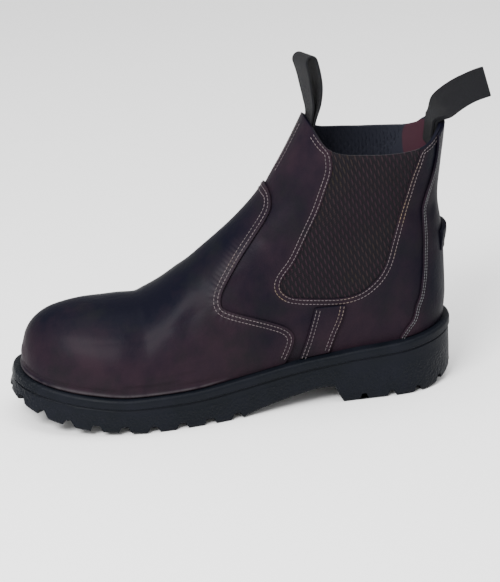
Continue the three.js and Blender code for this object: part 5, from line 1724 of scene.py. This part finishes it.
class SAFETYBOOT_OT_stage(bpy.types.Operator):
    """Set up the pale floor, the soft lights and the camera"""

    bl_idname = "safety_boot.stage"
    bl_label = "Stage"

    def camera(self, context, sizes):
        """Places the camera where the photo's was, and tilts it by the photo's crop."""
        azimuth, elevation, roll = (math.radians(CAMERA[k]) for k in ("azimuth", "elevation", "roll"))
        level = math.cos(elevation)
        back = Vector((math.sin(azimuth) * level, math.cos(azimuth) * level, math.sin(elevation)))
        right = (-back).cross(Vector((0, 0, 1))).normalized()
        up = right.cross(-back)
        turned_right = right * math.cos(roll) + up * math.sin(roll)
        turned_up = up * math.cos(roll) - right * math.sin(roll)
        width, height = CAMERA["image"]
        off_x = (width / 2 - CAMERA["centre"][0]) / CAMERA["focus"]
        off_y = (height / 2 - CAMERA["centre"][1]) / CAMERA["focus"]
        ahead = (-back + turned_right * off_x - turned_up * off_y).normalized()
        across = (turned_right - ahead * turned_right.dot(ahead)).normalized()
        above = across.cross(ahead)
        data = bpy.data.cameras.new("photo_camera")
        data.sensor_width = SENSOR
        data.lens = CAMERA["focus"] / height * SENSOR
        data.clip_start, data.clip_end = CAMERA["clip"]
        camera = bpy.data.objects.new("photo_camera", data)
        context.scene.collection.objects.link(camera)
        aim = Vector(CAMERA["aim"]) - Vector((ORIGIN_SHARE * sizes.sole_length, 0, 0))
        place = aim + back * CAMERA["distance"]
        turn = Matrix((across, above, -ahead)).transposed().to_4x4()
        camera.matrix_world = Matrix.Translation(place) @ turn
        context.scene.camera = camera

    def execute(self, context):
        sizes = context.scene.safety_boot_sizes
        self.camera(context, sizes)
        mesh = bmesh.new()
        bmesh.ops.create_grid(mesh, x_segments=1, y_segments=1, size=FLOOR_REACH)
        data = bpy.data.meshes.new("floor")
        mesh.to_mesh(data)
        mesh.free()
        data.materials.append(material("floor_paint", floor_paint))
        floor = bpy.data.objects.new("floor", data)
        context.scene.collection.objects.link(floor)
        for lamp in LAMPS:
            light = bpy.data.lights.new(lamp["name"], "AREA")
            light.shape = "RECTANGLE"
            light.size, light.size_y = lamp["size"]
            light.energy = lamp["power"]
            holder = bpy.data.objects.new(lamp["name"], light)
            context.scene.collection.objects.link(holder)
            place = Vector(lamp["at"])
            way = (Vector(LAMP_AIM) - place).to_track_quat("-Z", "Y").to_matrix().to_4x4()
            holder.matrix_world = Matrix.Translation(place) @ way
        world = bpy.data.worlds.new("studio")
        world.use_nodes = True
        sky = world.node_tree.nodes["Background"]
        sky.inputs["Color"].default_value = (1, 1, 1, 1)
        sky.inputs["Strength"].default_value = SKY_STRENGTH
        context.scene.world = world
        return {"FINISHED"}


class SAFETYBOOT_PT_panel(bpy.types.Panel):
    """The boot's sizes, colours and pieces"""

    bl_idname = "SAFETYBOOT_PT_panel"
    bl_label = "Safety Boot"
    bl_space_type = "VIEW_3D"
    bl_region_type = "UI"
    bl_category = "Boot"

    def draw(self, context):
        for operator in PIECES:
            self.layout.operator(operator.bl_idname)
        for group in (context.scene.safety_boot_sizes, context.scene.safety_boot_colours):
            for name in group.bl_rna.properties.keys():
                if name not in ("rna_type", "name"):
                    self.layout.prop(group, name)


PIECES = (
    SAFETYBOOT_OT_stage,
    SAFETYBOOT_OT_outsole,
    SAFETYBOOT_OT_insole,
    SAFETYBOOT_OT_upper,
    SAFETYBOOT_OT_vamp,
    SAFETYBOOT_OT_counter,
    SAFETYBOOT_OT_straps,
    SAFETYBOOT_OT_gores,
    SAFETYBOOT_OT_spur_rest,
    SAFETYBOOT_OT_loops,
    SAFETYBOOT_OT_stitching,
)
CLASSES = (SafetyBootSizes, SafetyBootColours, *PIECES, SAFETYBOOT_PT_panel)


def register():
    for cls in CLASSES:
        bpy.utils.register_class(cls)
    bpy.types.Scene.safety_boot_sizes = PointerProperty(type=SafetyBootSizes)
    bpy.types.Scene.safety_boot_colours = PointerProperty(type=SafetyBootColours)


def unregister():
    del bpy.types.Scene.safety_boot_colours
    del bpy.types.Scene.safety_boot_sizes
    for cls in reversed(CLASSES):
        bpy.utils.unregister_class(cls)


def main():
    register()
    for operator in PIECES:
        group, name = operator.bl_idname.split(".")
        getattr(getattr(bpy.ops, group), name)()


if __name__ == "__main__":
    main()
